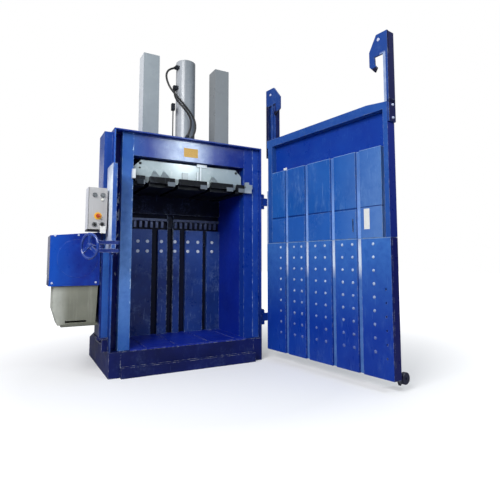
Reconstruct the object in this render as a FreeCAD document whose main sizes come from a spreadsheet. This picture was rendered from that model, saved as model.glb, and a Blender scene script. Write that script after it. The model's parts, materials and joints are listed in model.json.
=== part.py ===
import FreeCAD, Part
import math
import os
import re

import Sketcher

# Vertical recycling baler, standing open: the swing door is folded back to the right, the
# press platen is at the top of its stroke. Origin: floor level, middle of the front plane.
# +X runs to the right along the front, +Y into the machine, +Z up. Millimetres.

DOC = FreeCAD.newDocument("recycling_baler")
SHEET = DOC.addObject("Spreadsheet::Sheet", "sizes")
SIZES = {}
WORKED = {}
NODES = {}

# ---------------------------------------------------------------------------- driving sizes

DRIVING_SIZES = [
    # frame of the press
    ("frame_half", 760, "half width over the side plates"),
    ("frame_top", 2200, "height of the top plate"),
    ("side_sheet", 12, "side plate thickness"),
    ("top_sheet", 12, "top plate thickness"),
    ("base_top", 220, "top of the base rails"),
    ("rail_width", 100, "width of a base rail"),
    ("rail_length", 1080, "depth of the base"),
    ("rail_rear_height", 195, "height of a base rail at its rear end"),
    ("rail_gusset_top", 309, "top of the rail gusset behind the body"),
    ("toe_depth", 50, "how far the toe bar stands out under the door"),
    ("toe_seat", 20, "how far the toe bar reaches under the front edge"),
    ("toe_height", 90, "height of the toe bar"),
    ("opening_half", 575, "half width of the press chamber"),
    ("post_front", 50, "set-back of the front posts and beam"),
    ("post_depth", 100, "depth of the front posts"),
    ("channel_width", 71, "width of the open channel beside each post"),
    ("channel_depth", 142, "depth of that channel"),
    ("wall_sheet", 8, "sheet thickness of walls and tubes"),
    ("floor_sheet", 12, "chamber floor thickness"),
    ("beam_bottom", 1980, "underside of the front beam"),
    ("head_plate", 20, "thickness of the two crossbeams in the head"),
    ("chamber_back", 660, "front face of the rear panels"),
    ("panel_depth", 40, "thickness of the rear panels"),
    ("back_sheet", 10, "rear wall thickness"),
    ("window_bottom", 1345, "lower edge of the slot for the claws"),
    ("window_top", 1515, "upper edge of the slot for the claws"),
    ("rib_depth", 38, "stiffener ribs on the side plates"),
    ("rib_height", 60, "height of a stiffener rib"),
    # strap grooves, shared by floor, platen and door
    ("groove_inner", 165, "inner strap groove from the middle"),
    ("groove_outer", 452, "outer strap groove from the middle"),
    ("groove_width", 46, "width of a strap groove"),
    ("floor_groove_depth", 6, "depth of the grooves in the floor"),
    # rear panels
    ("rear_groove_left", -183, "left groove in the rear panels"),
    ("rear_groove_right", 128, "right groove in the rear panels"),
    ("rear_groove_width", 70, "width of those grooves"),
    ("guide_middle", -14, "middle of the ejector guide"),
    ("guide_width", 72, "width of the ejector guide"),
    ("guide_bar", 8, "thickness of a guide bar"),
    ("ring_slot_middle", 394, "slot for the ejector ring"),
    ("ring_slot_width", 52, "width of that slot"),
    ("stud_radius", 13, "round studs on panels and door"),
    ("stud_height", 6, "how far a stud stands out"),
    ("stud_pitch", 106, "spacing of the studs on the door"),
    ("stud_first", 46, "top row of studs below the door's upper edge"),
    ("drill_radius", 8, "holes along the door's free edge"),
    ("drill_inset", 56, "those holes from the free edge"),
    ("drill_first", 159, "lowest of them above the door's underside"),
    ("rear_stud_high", 128, "upper row of rear studs below the claw slot"),
    ("rear_stud_low", 232, "lower row of rear studs below the claw slot"),
    # retaining claws
    ("claw_pitch", 59, "spacing of the claws"),
    ("claw_width", 26, "width of a claw"),
    ("claw_tip", 1368, "lowest point of the claws"),
    ("claw_top", 1440, "underside of the claw bar"),
    ("claw_bar_height", 26, "height of the claw bar"),
    ("claw_gap", 5, "claws stand this far behind the panel face"),
    # hydraulic press
    ("press_middle", 275, "middle of cylinder and columns, from the front"),
    ("barrel_radius", 100, "outer radius of the barrel"),
    ("bore_radius", 80, "bore of the barrel"),
    ("barrel_bottom", 2000, "lower end of the barrel"),
    ("barrel_top", 3080, "upper end of the barrel"),
    ("barrel_end", 40, "thickness of the barrel's ends"),
    ("flange_radius", 150, "mounting flange of the barrel"),
    ("flange_height", 36, "thickness of that flange"),
    ("rod_radius", 45, "piston rod"),
    ("piston_height", 70, "piston"),
    ("running_gap", 0.05, "radial clearance of running fits"),
    ("column_spacing", 384, "guide column from the middle"),
    ("column_width", 160, "side of a square guide column"),
    ("column_top", 3060, "top of the guide columns"),
    ("column_gap", 0.3, "clearance of a column in its collar"),
    ("collar_wall", 22, "wall of a guide collar"),
    ("collar_height", 28, "height of a guide collar"),
    # platen
    ("platen_gap", 13, "clearance of the platen in the chamber"),
    ("platen_front", 5, "front edge of the platen"),
    ("platen_back", 650, "rear edge of the platen"),
    ("platen_bottom", 1700, "pressing face at the top of the stroke"),
    ("pad_height", 60, "height of the pressing pads"),
    ("platen_sheet", 30, "platen base plate"),
    ("pad_set_back", 42, "the pads lie this far behind the platen edge"),
    ("pad_lip", 3, "front lip of a pad behind the face of its nose block"),
    ("lip_drop", 25, "how far a lip reaches down over its pad"),
    ("nose_width", 72, "width of the nose block of each pad"),
    ("nose_low", 12, "underside of a nose block above the pressing face"),
    ("nose_drop", 8, "top of a nose block below the platen base plate"),
    ("guide_lip", 25, "reach of a strap guide down into its groove"),
    ("fascia_front", 90, "front face of the tall front plate"),
    ("fascia_sheet", 12, "thickness of the tall front plate"),
    ("fascia_top", 1955, "top of the tall front plate"),
    ("fascia_shoulder", 1890, "where its corners start to slope"),
    ("fascia_corner", 67, "width of a sloping corner"),
    ("gusset_width", 88, "foot of a gusset in front of the tall plate"),
    ("gusset_depth", 70, "reach of a gusset forward"),
    ("gusset_height", 82, "height of a gusset"),
    ("gusset_ridge", 4, "blunt top of a gusset"),
    ("bracket_front", 10, "strap bracket, thickness"),
    ("crosshead_top", 1940, "top of the crosshead webs"),
    ("crosshead_inset", 42, "webs end this far inside the platen's ends"),
    ("web_sheet", 12, "thickness of the crosshead webs"),
    ("shoe_rise", 56, "left shoe, top above the platen plate"),
    ("shoe_gap", 2, "clearance of a shoe in front of its post"),
    ("shoe_width_left", 28, "left guide shoe"),
    ("shoe_width_right", 93, "right guide shoe"),
    ("shoe_drop", 50, "right shoe, underside below the platen plate"),
    ("shoe_step", 20, "width of a step of the right shoe"),
    # door
    ("door_gap", 5, "clearance between closed door and frame"),
    ("door_depth", 90, "thickness of the lower door"),
    ("door_bottom", 100, "underside of the door"),
    ("door_top", 1191, "top of the lower door"),
    ("strip_depth", 20, "thickness of the door's inner strips"),
    ("stile_width", 18, "upright on the door that carries the upper hinge"),
    ("stile_top", 1750, "top of that upright"),
    ("door_angle", 97.6, "how far the door stands open"),
    ("hinge_out", 30, "hinge pin outside the side plate"),
    ("hinge_in", 45, "hinge pin behind the front plane"),
    ("hinge_pin_radius", 12, "hinge pin"),
    ("knuckle_radius", 26, "hinge knuckles"),
    ("hinge_height", 150, "height of one hinge"),
    ("hinge_ear", 35, "height of a fixed ear"),
    ("hinge_low", 350, "bottom of the lower hinge"),
    ("hinge_high", 1559, "bottom of the upper hinge"),
    ("hinge_gap", 1, "clearance between knuckles"),
    # lifting gate above the lower door
    ("gate_gap", 2, "gap between lower door and gate"),
    ("gate_top", 2297, "top of the gate"),
    ("gate_beam_height", 76, "height of the gate's top beam"),
    ("gate_post_free", 43, "width of the gate post at the free end"),
    ("gate_post_hinge", 84, "width of the gate post at the hinge end"),
    ("gate_slot", 27, "slot beside the free post"),
    ("gate_running_gap", 0.5, "clearance between gate and guide rails"),
    ("gate_recess", 60, "depth of the recess above the strips"),
    ("gate_sheet", 10, "thickness of the gate's sheet"),
    ("strip_top", 1930, "top of the gate's strips"),
    ("gate_rail_inset", 50, "middle of a guide rail from the door's end"),
    ("gate_rail_width", 40, "width of a guide rail"),
    ("gate_rail_depth", 23, "depth of a guide rail"),
    ("gate_rail_bottom", 180, "lower end of the guide rails"),
    ("gate_rail_top", 2250, "top of the guide rails"),
    ("claw_sheet", 8, "sheet of the gate's guide claws"),
    ("claw_length", 90, "height of a guide claw"),
    # lifting arms
    ("arm_width", 44, "width of the lifting arm at the free end"),
    ("arm_rebate", 24, "depth of the step along the arm at the hinge end"),
    ("arm_bolt", 13, "bolt heads on a lap plate, radius"),
    ("arm_bolt_low", 30, "lower bolt above the lap plate's end"),
    ("arm_bolt_high", 105, "upper bolt above the lap plate's end"),
    ("arm_lap", 16, "lap plate of an arm on the gate's end"),
    ("arm_depth", 87, "depth of a lifting arm"),
    ("arm_sheet", 8, "sheet of an arm"),
    ("lap_bottom", 2113, "lower end of the lap plate"),
    ("hook_top", 2862, "top of the hooks"),
    ("hook_reach", 178, "reach of a hook from the arm's outer face"),
    ("hook_sheet", 56, "thickness of a hook"),
    ("hook_finger", 53, "width of a hook's finger"),
    ("hook_toe", 22, "how far its toe turns back in"),
    # door roller
    ("roller_radius", 47, "roller at the foot of the door"),
    ("roller_width", 34, "width of that roller"),
    ("roller_height", 97, "height of its axle"),
    ("axle_radius", 9, "axle of the roller"),
    # left side column, latch
    ("column_box_width", 70, "side column, width"),
    ("column_box_front", 90, "side column, front face"),
    ("column_box_depth", 250, "side column, depth"),
    ("column_box_bottom", 340, "side column, lower end"),
    ("column_box_top", 2180, "side column, upper end"),
    ("latch_rail_width", 37, "latch rail, width"),
    ("latch_rail_reach", 190, "latch rail, reach in front of the frame"),
    ("latch_rail_gap", 3, "latch rail clear of the closed door"),
    ("latch_rail_top", 1835, "latch rail, top"),
    ("latch_low", 1078, "underside of the lower arm plate"),
    ("latch_plate", 30, "thickness of an arm plate"),
    ("latch_clear", 38, "clear height between the arm plates"),
    ("latch_tail", 28, "the arm plates run on past the pivot"),
    ("latch_pin_radius", 12, "pivot pin of the latch arm"),
    ("latch_arm_half", 30, "half width of the latch arm"),
    ("latch_arm_length", 98, "pivot pin to spindle block"),
    ("latch_arm_gap", 1, "arm plates clear of the rail"),
    ("wheel_turn", 59.5, "heading of the spindle, from straight ahead"),
    ("wheel_radius", 99, "hand wheel, middle of the rim"),
    ("wheel_rim", 11, "hand wheel, rim section"),
    ("spoke_width", 26, "hand wheel, width of a spoke"),
    ("wheel_reach", 106, "spindle block to hand wheel"),
    ("spindle_radius", 14, "spindle"),
    # power pack
    ("cover_clear", 76, "power pack cover, clear of the side plate"),
    ("cover_width", 406, "power pack cover, width"),
    ("cover_front", 100, "power pack cover, front"),
    ("cover_depth", 300, "power pack cover, depth"),
    ("cover_bottom", 795, "power pack cover, lower edge"),
    ("cover_top", 1224, "power pack cover, top at the left"),
    ("cover_rise", 38, "rise of its roof towards the press"),
    ("cover_sheet", 4, "its sheet"),
    ("tank_bottom", 465, "oil tank, underside"),
    ("tank_narrow", 38, "tank set in from the cover's left side"),
    ("tank_inset", 10, "tank set in from the cover's front and right side"),
    ("bracket_sheet", 12, "bracket behind the power pack"),
    ("bracket_inset", 60, "bracket set in from the tank's left side"),
    # controls
    ("panel_out", 212, "control box, left side out from the side plate"),
    ("panel_width", 156, "control box, width"),
    ("panel_height", 372, "control box, height"),
    ("panel_bottom", 1262, "control box, lower edge"),
    ("panel_front", -60, "control box, front"),
    ("ferrule_radius", 14, "hose ferrules"),
    ("ferrule_length", 26, "length of a ferrule"),
    ("knob_gap", 0.3, "clearance behind buttons and knobs"),
    ("stem_gap", 0.05, "clearance of a stem in its collar"),
]

for row_number, (size_name, size_value, meaning) in enumerate(DRIVING_SIZES, start=1):
    SHEET.set(f"A{row_number}", meaning)
    SHEET.set(f"B{row_number}", str(size_value))
    SHEET.setAlias(f"B{row_number}", size_name)
    SIZES[size_name] = size_value
DOC.recompute()

# Sizes that follow from the driving sizes, as expressions.
WORKED.update({
    "head_under": "frame_top - top_sheet",
    "post_outer": "frame_half - side_sheet - channel_width",
    "post_back": "post_front + post_depth",
    "panel_back": "chamber_back + panel_depth",
    "body_depth": "panel_back + back_sheet",
    "floor_top": "base_top + floor_sheet",
    "plate_bottom": "platen_bottom + pad_height",
    "plate_top": "plate_bottom + platen_sheet",
    "platen_half": "opening_half - platen_gap",
    "fascia_top_half": "platen_half - fascia_corner",
    "fascia_back": "fascia_front + fascia_sheet",
    "crosshead_half": "platen_half - crosshead_inset",
    "pads_front": "platen_front + pad_set_back",
    "hinge_x": "frame_half + hinge_out",
    "hinge_y": "hinge_in",
    "door_inner": "-door_gap",
    "strip_back": "door_inner - strip_depth",
    "door_outer": "door_inner - door_depth",
    "gate_bottom": "door_top + gate_gap",
    "stile_left": "frame_half - stile_width",
    "gate_outer": "door_outer + gate_running_gap",
    "gate_rail_middle": "frame_half - gate_rail_inset",
    "recess_face": "door_inner - gate_recess",
    "gate_beam_bottom": "gate_top - gate_beam_height",
    "arm_width_hinge": "gate_post_hinge + arm_lap",
    "hook_reach_hinge": "hook_reach + 12",
    "arm_far": "frame_half + arm_lap",
    "arm_front": "door_inner - 3 - arm_depth",
    "arm_back": "door_inner - 3",
    "column_front": "press_middle - column_width / 2",
    "column_back": "press_middle + column_width / 2",
    "latch_right": "-frame_half - latch_rail_gap",
    "latch_left": "latch_right - latch_rail_width",
    "latch_x": "latch_right - latch_rail_width / 2",
    "latch_y": "-latch_rail_reach + latch_arm_half + 5",
    "latch_high": "latch_low + latch_plate + latch_clear",
    "latch_level": "latch_low + latch_plate + latch_clear / 2",
    "block_x": "latch_x - latch_arm_length",
    "wheel_x": "block_x - wheel_reach * sin(wheel_turn)",
    "wheel_y": "latch_y - wheel_reach * cos(wheel_turn)",
    "cover_right": "-frame_half - cover_clear",
    "cover_left": "cover_right - cover_width",
    "cover_back": "cover_front + cover_depth",
    "tank_left": "cover_left + tank_narrow",
    "tank_right": "cover_right - tank_inset",
    "panel_left": "-frame_half - panel_out",
    "panel_right": "panel_left + panel_width",
    "panel_top": "panel_bottom + panel_height",
})

WORD = re.compile(r"[a-z][a-z0-9_]*")


def full(text):
    """The expression with worked sizes written out and named sizes pointed at the sheet."""
    def swap(match):
        word = match.group(0)
        if word in WORKED:
            return f"({full(WORKED[word])})"
        if word in SIZES:
            return f"sizes.{word}"
        return word
    return WORD.sub(swap, str(text))


def value(text):
    """The present value of an expression in named sizes."""
    return float(SHEET.evalExpression(full(text)))


# --------------------------------------------------------------------------- shape helpers

TURNS = {
    "z": FreeCAD.Rotation(),
    "x": FreeCAD.Rotation(FreeCAD.Vector(0, 1, 0), 90),
    "y": FreeCAD.Rotation(FreeCAD.Vector(1, 0, 0), -90),
}


def bind(piece, **properties):
    for name, text in properties.items():
        piece.setExpression(name, full(text))


def locate(piece, x, y, z):
    for letter, text in zip("xyz", (x, y, z)):
        piece.setExpression(f"Placement.Base.{letter}", full(text))


def block(left, right, front, back, bottom, top):
    """A box between six planes."""
    piece = DOC.addObject("Part::Box", "Block")
    bind(piece, Length=f"({right}) - ({left})", Width=f"({back}) - ({front})",
         Height=f"({top}) - ({bottom})")
    locate(piece, left, front, bottom)
    return piece


def rod(axis, x, y, z, radius, length):
    """A cylinder that starts at a point and runs along an axis."""
    piece = DOC.addObject("Part::Cylinder", "Rod")
    piece.Placement.Rotation = TURNS[axis]
    bind(piece, Radius=radius, Height=length)
    locate(piece, x, y, z)
    return piece


def dome(axis_sign, x, y, z):
    """A flat-topped round stud that stands out along Y."""
    piece = DOC.addObject("Part::Cone", "Dome")
    turn = -90 if axis_sign > 0 else 90
    piece.Placement.Rotation = FreeCAD.Rotation(FreeCAD.Vector(1, 0, 0), turn)
    bind(piece, Radius1="stud_radius", Radius2="stud_radius * 0.6", Height="stud_height")
    locate(piece, x, y, z)
    return piece


def cut(base, *tools):
    piece = DOC.addObject("Part::Cut", "Cut")
    piece.Base = base
    piece.Tool = tools[0] if len(tools) == 1 else fuse(*tools)
    return piece


def fuse(*pieces):
    piece = DOC.addObject("Part::MultiFuse", "Fuse")
    piece.Shapes = list(pieces)
    piece.Refine = True
    return piece


def group(*pieces):
    """Several separate solids that make one sub-part."""
    piece = DOC.addObject("Part::Compound", "Group")
    piece.Links = list(pieces)
    return piece


def plane_of(body, role):
    return next(item for item in body.Origin.OriginFeatures if item.Role == role)


def draw_outline(sketch, points):
    """A closed outline of straight lines whose corners are bound to expressions."""
    corners = [FreeCAD.Vector(value(u), value(v), 0) for u, v in points]
    count = len(corners)
    for index, corner in enumerate(corners):
        sketch.addGeometry(Part.LineSegment(corner, corners[(index + 1) % count]), False)
    for index in range(count):
        sketch.addConstraint(Sketcher.Constraint("Coincident", index, 2, (index + 1) % count, 1))
    for index, (u, v) in enumerate(points):
        for kind, text in (("DistanceX", u), ("DistanceY", v)):
            number = sketch.addConstraint(
                Sketcher.Constraint(kind, -1, 1, index, 1, value(text)))
            sketch.setExpression(f"Constraints[{number}]", full(text))


def draw_hole(sketch, u, v, radius):
    circle = Part.Circle(FreeCAD.Vector(value(u), value(v), 0), FreeCAD.Vector(0, 0, 1),
                         value(radius))
    index = sketch.addGeometry(circle, False)
    for kind, text in (("DistanceX", u), ("DistanceY", v)):
        number = sketch.addConstraint(Sketcher.Constraint(kind, -1, 1, index, 3, value(text)))
        sketch.setExpression(f"Constraints[{number}]", full(text))
    number = sketch.addConstraint(Sketcher.Constraint("Radius", index, value(radius)))
    sketch.setExpression(f"Constraints[{number}]", full(radius))


def profile(plane, points, start, thickness, holes=()):
    """A plate with a drawn outline. Its thickness runs along +X, +Y or +Z from start."""
    body = DOC.addObject("PartDesign::Body", "Profile")
    sketch = body.newObject("Sketcher::SketchObject", "Outline")
    sketch.AttachmentSupport = [(plane_of(body, f"{plane}_Plane"), "")]
    sketch.MapMode = "FlatFace"
    draw_outline(sketch, points)
    for hole in holes:
        draw_hole(sketch, *hole)
    pad = body.newObject("PartDesign::Pad", "Plate")
    pad.Profile = sketch
    pad.Reversed = plane == "XZ"
    bind(pad, Length=thickness)
    letter = {"XY": "z", "XZ": "y", "YZ": "x"}[plane]
    body.setExpression(f"Placement.Base.{letter}", full(start))
    return body


def turned(points, x, y, z, rotation=None):
    """A turned piece: outline in radius and height, spun about its own upright axis."""
    body = DOC.addObject("PartDesign::Body", "Turned")
    sketch = body.newObject("Sketcher::SketchObject", "Section")
    sketch.AttachmentSupport = [(plane_of(body, "XZ_Plane"), "")]
    sketch.MapMode = "FlatFace"
    draw_outline(sketch, points)
    spin = body.newObject("PartDesign::Revolution", "Spin")
    spin.Profile = sketch
    spin.ReferenceAxis = (sketch, ["V_Axis"])
    spin.Angle = 360
    if rotation:
        body.Placement.Rotation = rotation
    locate(body, x, y, z)
    return body


def across(side, near, far):
    """The two X planes of a piece on one side: side is -1 for left, +1 for right."""
    return (near, far) if side > 0 else (f"-({far})", f"-({near})")


def node(name, piece):
    piece.Label = name
    NODES[name] = piece
    return piece


def door_node(name, *pieces):
    """A sub-part drawn on the closed door and swung open about the hinge pin."""
    piece = group(*pieces)
    piece.Placement.Rotation = FreeCAD.Rotation(FreeCAD.Vector(0, 0, 1), value("door_angle"))
    piece.setExpression("Placement.Rotation.Angle", full("door_angle"))
    locate(piece,
           "hinge_x - hinge_x * cos(door_angle) + hinge_y * sin(door_angle)",
           "hinge_y - hinge_x * sin(door_angle) - hinge_y * cos(door_angle)",
           "0")
    return node(name, piece)


SIDES = {"left": -1, "right": 1}
GROOVES = ["-groove_outer", "-groove_inner", "groove_inner", "groove_outer"]


def between_grooves(left_edge, right_edge):
    """The five spans left standing between the four strap grooves."""
    edges = [left_edge]
    for middle in GROOVES:
        edges += [f"{middle} - groove_width / 2", f"{middle} + groove_width / 2"]
    edges.append(right_edge)
    return list(zip(edges[0::2], edges[1::2]))


# ------------------------------------------------------------------------------ base, frame

def base():
    rail = [("0", "0"), ("rail_length", "0"), ("rail_length", "rail_rear_height"),
            ("body_depth", "rail_gusset_top"), ("body_depth", "base_top"), ("0", "base_top")]
    for name, side in SIDES.items():
        left, _ = across(side, "frame_half - rail_width", "frame_half")
        node(f"base_rail_{name}", profile("YZ", rail, left, "rail_width"))
    inner = "frame_half - rail_width"
    sill = cut(block(f"-({inner})", inner, "0", "rail_width", "0", "base_top"),
               block(f"-({inner}) - 1", f"{inner} + 1", "-1", "toe_seat", "-1", "toe_height"))
    toe = block(f"-({inner})", inner, "-toe_depth", "toe_seat", "0", "toe_height")
    rear = block(f"-({inner})", inner, "rail_length - rail_width", "rail_length", "0",
                 "rail_rear_height")
    node("base_crossbeams", group(toe, sill, rear))


def side_plates():
    """Side plates with pressed ribs behind the columns."""
    for name, side in SIDES.items():
        left, right = across(side, "frame_half - side_sheet", "frame_half")
        skin = block(left, right, "0", "body_depth", "base_top", "head_under")
        ribs = []
        for level in (0.28, 0.5, 0.72):
            height = f"base_top + (frame_top - base_top) * {level}"
            rib_left, rib_right = across(side, "frame_half", "frame_half + rib_depth")
            ribs.append(block(rib_left, rib_right,
                              "cover_back + bracket_sheet + 12",
                              "body_depth - rib_height", height, f"{height} + rib_height"))
        node(f"side_plate_{name}", group(skin, *ribs))


def front_posts():
    """Open-ended box tubes each side of the chamber mouth."""
    for name, side in SIDES.items():
        left, right = across(side, "opening_half", "post_outer")
        shell = block(left, right, "post_front", "post_back", "base_top", "head_under")
        hollow = block(f"{left} + wall_sheet", f"{right} - wall_sheet",
                       "post_front + wall_sheet", "post_back - wall_sheet",
                       "base_top - 1", "head_under + 1")
        node(f"front_post_{name}", cut(shell, hollow))


def channel_webs():
    """The sheets that close the back of the open channels beside the posts."""
    webs = []
    for side in SIDES.values():
        left, right = across(side, "post_outer", "frame_half - side_sheet")
        webs.append(block(left, right, "channel_depth - wall_sheet", "channel_depth",
                          "base_top", "head_under"))
    node("channel_webs", group(*webs))


def chamber():
    walls = []
    for side in SIDES.values():
        left, right = across(side, "opening_half", "opening_half + wall_sheet")
        walls.append(block(left, right, "post_back", "panel_back", "base_top", "head_under"))
    node("chamber_walls", group(*walls))
    floor = block("-opening_half", "opening_half", "0", "panel_back", "base_top", "floor_top")
    slots = [block(f"{middle} - groove_width / 2", f"{middle} + groove_width / 2", "-1",
                   "chamber_back", "floor_top - floor_groove_depth", "floor_top + 1")
             for middle in GROOVES]
    node("chamber_floor", cut(floor, *slots))
    node("back_wall",
         block("side_sheet - frame_half", "frame_half - side_sheet", "panel_back", "body_depth",
               "base_top", "head_under"))
    node("back_panel_upper",
         block("-opening_half", "opening_half", "chamber_back", "panel_back", "window_top",
               "head_under"))


def rear_panels():
    """Lower rear panels with their studs, parted by grooves, guide and ring slot."""
    stops = [
        ("-opening_half", "rear_groove_left - rear_groove_width / 2"),
        ("rear_groove_left + rear_groove_width / 2", "guide_middle - guide_width / 2"),
        ("guide_middle + guide_width / 2", "rear_groove_right - rear_groove_width / 2"),
        ("rear_groove_right + rear_groove_width / 2",
         "ring_slot_middle - ring_slot_width / 2"),
        ("ring_slot_middle + ring_slot_width / 2", "opening_half"),
    ]
    studs = {0: (207, 308), 1: (34,), 2: (17,), 3: (27, 147), 4: (62,)}
    rows = ("window_bottom - rear_stud_high", "window_bottom - rear_stud_low")
    panels = []
    for index, (left, right) in enumerate(stops):
        panel = block(left, right, "chamber_back", "panel_back", "floor_top", "window_bottom")
        heads = [dome(-1, f"{left} + {along}", "chamber_back", level)
                 for along in studs[index] for level in rows]
        panels.append(fuse(panel, *heads))
    node("back_panels", group(*panels))


def ejector():
    """Upright guide with its hook block, and the ring that hangs in its slot."""
    bars = []
    for sign in (-1, 1):
        edge = f"guide_middle + {sign} * (guide_width / 2 - guide_bar / 2)"
        bars.append(block(f"{edge} - guide_bar / 2", f"{edge} + guide_bar / 2",
                          "chamber_back + claw_gap", "panel_back", "floor_top",
                          "window_top - 10"))
    slide = block("guide_middle - guide_width / 2 + guide_bar",
                  "guide_middle + guide_width / 2 - guide_bar", "panel_back - 14",
                  "panel_back", "claw_tip", "window_top - 30")
    ring = DOC.addObject("Part::Torus", "Ring")
    ring.Placement.Rotation = TURNS["y"]
    bind(ring, Radius1="ring_slot_width / 2 - 7", Radius2="6")
    locate(ring, "ring_slot_middle", "panel_back - 8", "window_bottom - 150")
    eye = block("ring_slot_middle - 9", "ring_slot_middle + 9", "panel_back - 22",
                "panel_back", "window_bottom - 135", "window_bottom - 100")
    node("ejector_guide", group(fuse(slide, *bars), fuse(ring, eye)))


def retaining_claws():
    """A bar across the rear slot with claws that hold the material down."""
    nose = "chamber_back + claw_gap"
    outline = [("panel_back", "claw_top"), (nose, "claw_top - 8"),
               (nose, "claw_top - 34"), (f"{nose} + 12", "claw_tip"),
               (f"{nose} + 22", "claw_tip"), ("panel_back", "claw_top - 30")]
    pieces = [block("-opening_half", "opening_half", f"{nose} + 6", "panel_back", "claw_top",
                    "claw_top + claw_bar_height")]
    left_run = [f"guide_middle - guide_width / 2 - claw_pitch * {step + 0.92}"
                for step in range(8)]
    right_run = [f"guide_middle + guide_width / 2 + claw_pitch * {step + 0.48}"
                 for step in range(9)]
    for middle in left_run + right_run:
        pieces.append(profile("YZ", outline, f"{middle} - claw_width / 2", "claw_width"))
    bar = fuse(*pieces)
    gap = block("guide_middle - guide_width / 2 - 1", "guide_middle + guide_width / 2 + 1",
                "chamber_back", "panel_back + 1", "claw_tip - 5",
                "claw_top + claw_bar_height + 1")
    node("retaining_claws", cut(bar, gap))


def head():
    """Top plate with its collars, front beam and the two crossbeams round the cylinder."""
    plate = block("-frame_half", "frame_half", "0", "body_depth", "head_under", "frame_top")
    collars = []
    holes = [rod("z", "0", "press_middle", "head_under - 1", "barrel_radius + 1",
                 "top_sheet + 2")]
    for side in SIDES.values():
        middle = f"{side} * column_spacing"
        outer = "column_width / 2 + column_gap + collar_wall"
        inner = "column_width / 2 + column_gap"
        collars.append(block(f"{middle} - ({outer})", f"{middle} + {outer}",
                             f"press_middle - ({outer})", f"press_middle + {outer}",
                             "frame_top", "frame_top + collar_height"))
        holes.append(block(f"{middle} - ({inner})", f"{middle} + {inner}",
                           f"press_middle - ({inner})", f"press_middle + {inner}",
                           "head_under - 1", "frame_top + collar_height + 1"))
    node("top_plate", cut(fuse(plate, *collars), *holes))
    beam = block("-opening_half", "opening_half", "post_front", "post_back", "beam_bottom",
                 "head_under")
    hollow = block("-opening_half - 1", "opening_half + 1", "post_front + wall_sheet",
                   "post_back - wall_sheet", "beam_bottom + wall_sheet",
                   "head_under - wall_sheet")
    node("front_beam", cut(beam, hollow))
    front = "press_middle - barrel_radius - 5 - head_plate"
    back = "press_middle + barrel_radius + 5"
    node("head_crossbeams",
         group(*[block("-opening_half", "opening_half", start, f"{start} + head_plate",
                       "beam_bottom", "head_under") for start in (front, back)]))


# --------------------------------------------------------------------------- press, platen

def cylinder():
    gland = "rod_radius + running_gap"
    section = [
        (gland, "barrel_bottom"), ("barrel_radius", "barrel_bottom"),
        ("barrel_radius", "frame_top"), ("flange_radius", "frame_top"),
        ("flange_radius", "frame_top + flange_height"),
        ("barrel_radius", "frame_top + flange_height"),
        ("barrel_radius", "barrel_top - 6"), ("barrel_radius - 6", "barrel_top"),
        ("0", "barrel_top"), ("0", "barrel_top - barrel_end"),
        ("bore_radius", "barrel_top - barrel_end"),
        ("bore_radius", "barrel_bottom + barrel_end"), (gland, "barrel_bottom + barrel_end"),
    ]
    node("cylinder_barrel", turned(section, "0", "press_middle", "0"))
    piston_top = "barrel_top - barrel_end - 10"
    rod_section = [
        ("0", "crosshead_top"), ("rod_radius", "crosshead_top"),
        ("rod_radius", f"{piston_top} - piston_height"),
        ("bore_radius - running_gap", f"{piston_top} - piston_height"),
        ("bore_radius - running_gap", piston_top), ("0", piston_top),
    ]
    node("piston_rod", turned(rod_section, "0", "press_middle", "0"))


def guide_columns():
    """Square tubes, closed at the top, that rise with the platen."""
    for name, side in SIDES.items():
        middle = f"{side} * column_spacing"
        left, right = f"{middle} - column_width / 2", f"{middle} + column_width / 2"
        shell = block(left, right, "column_front", "column_back", "plate_top", "column_top")
        hollow = block(f"{left} + wall_sheet", f"{right} - wall_sheet",
                       "column_front + wall_sheet", "column_back - wall_sheet",
                       "plate_top - 1", "column_top - wall_sheet")
        node(f"guide_column_{name}", cut(shell, hollow))


def platen():
    node("platen_plate",
         block("-platen_half", "platen_half", "pads_front", "platen_back", "plate_bottom",
               "plate_top"))
    pads = []
    for left, right in between_grooves("-platen_half", "platen_half"):
        pad = block(left, right, "pads_front", "platen_back", "platen_bottom", "plate_bottom")
        lip = block(left, right, "platen_front + pad_lip", "pads_front",
                    "plate_bottom - lip_drop", "plate_top")
        nose = block(f"max({left}; {right} - nose_width)", right, "platen_front",
                     "pads_front", "platen_bottom + nose_low", "plate_bottom - nose_drop")
        pads.append(fuse(pad, lip, nose))
    node("platen_pads", group(*pads))
    low = block("platen_half", "platen_half + shoe_width_right - shoe_step / 2",
                "platen_front + 3", "post_front - shoe_gap", "plate_bottom - shoe_drop",
                "plate_bottom")
    middle = block("platen_half + shoe_step", "platen_half + shoe_width_right",
                   "platen_front + 3", "post_front - shoe_gap", "plate_bottom - 3",
                   "plate_top + shoe_step / 2")
    high = block("platen_half + shoe_step", "platen_half + shoe_width_right - 2 * shoe_step",
                 "platen_front + 3", "post_front - shoe_gap", "plate_top",
                 "plate_top + shoe_rise * 0.6")
    left_shoe = block("-platen_half - shoe_width_left", "-platen_half", "platen_front + 3",
                      "post_front - shoe_gap", "plate_bottom", "plate_top + shoe_rise")
    node("platen_shoes", group(left_shoe, fuse(low, middle, high)))


def gusset(middle):
    """A blunt pyramid that stands on the platen plate against the tall front plate."""
    piece = DOC.addObject("Part::Wedge", "Gusset")
    piece.Placement.Rotation = FreeCAD.Rotation(FreeCAD.Vector(1, 0, 0), 90)
    bind(piece, Xmin="0", Xmax="gusset_width", Ymin="0", Ymax="gusset_height", Zmin="0",
         Zmax="gusset_depth", X2min="(gusset_width - gusset_ridge) / 2",
         X2max="(gusset_width + gusset_ridge) / 2", Z2min="0", Z2max="gusset_ridge")
    locate(piece, f"{middle} - gusset_width / 2", "fascia_front + gusset_ridge / 2",
           "plate_top")
    return piece


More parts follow.
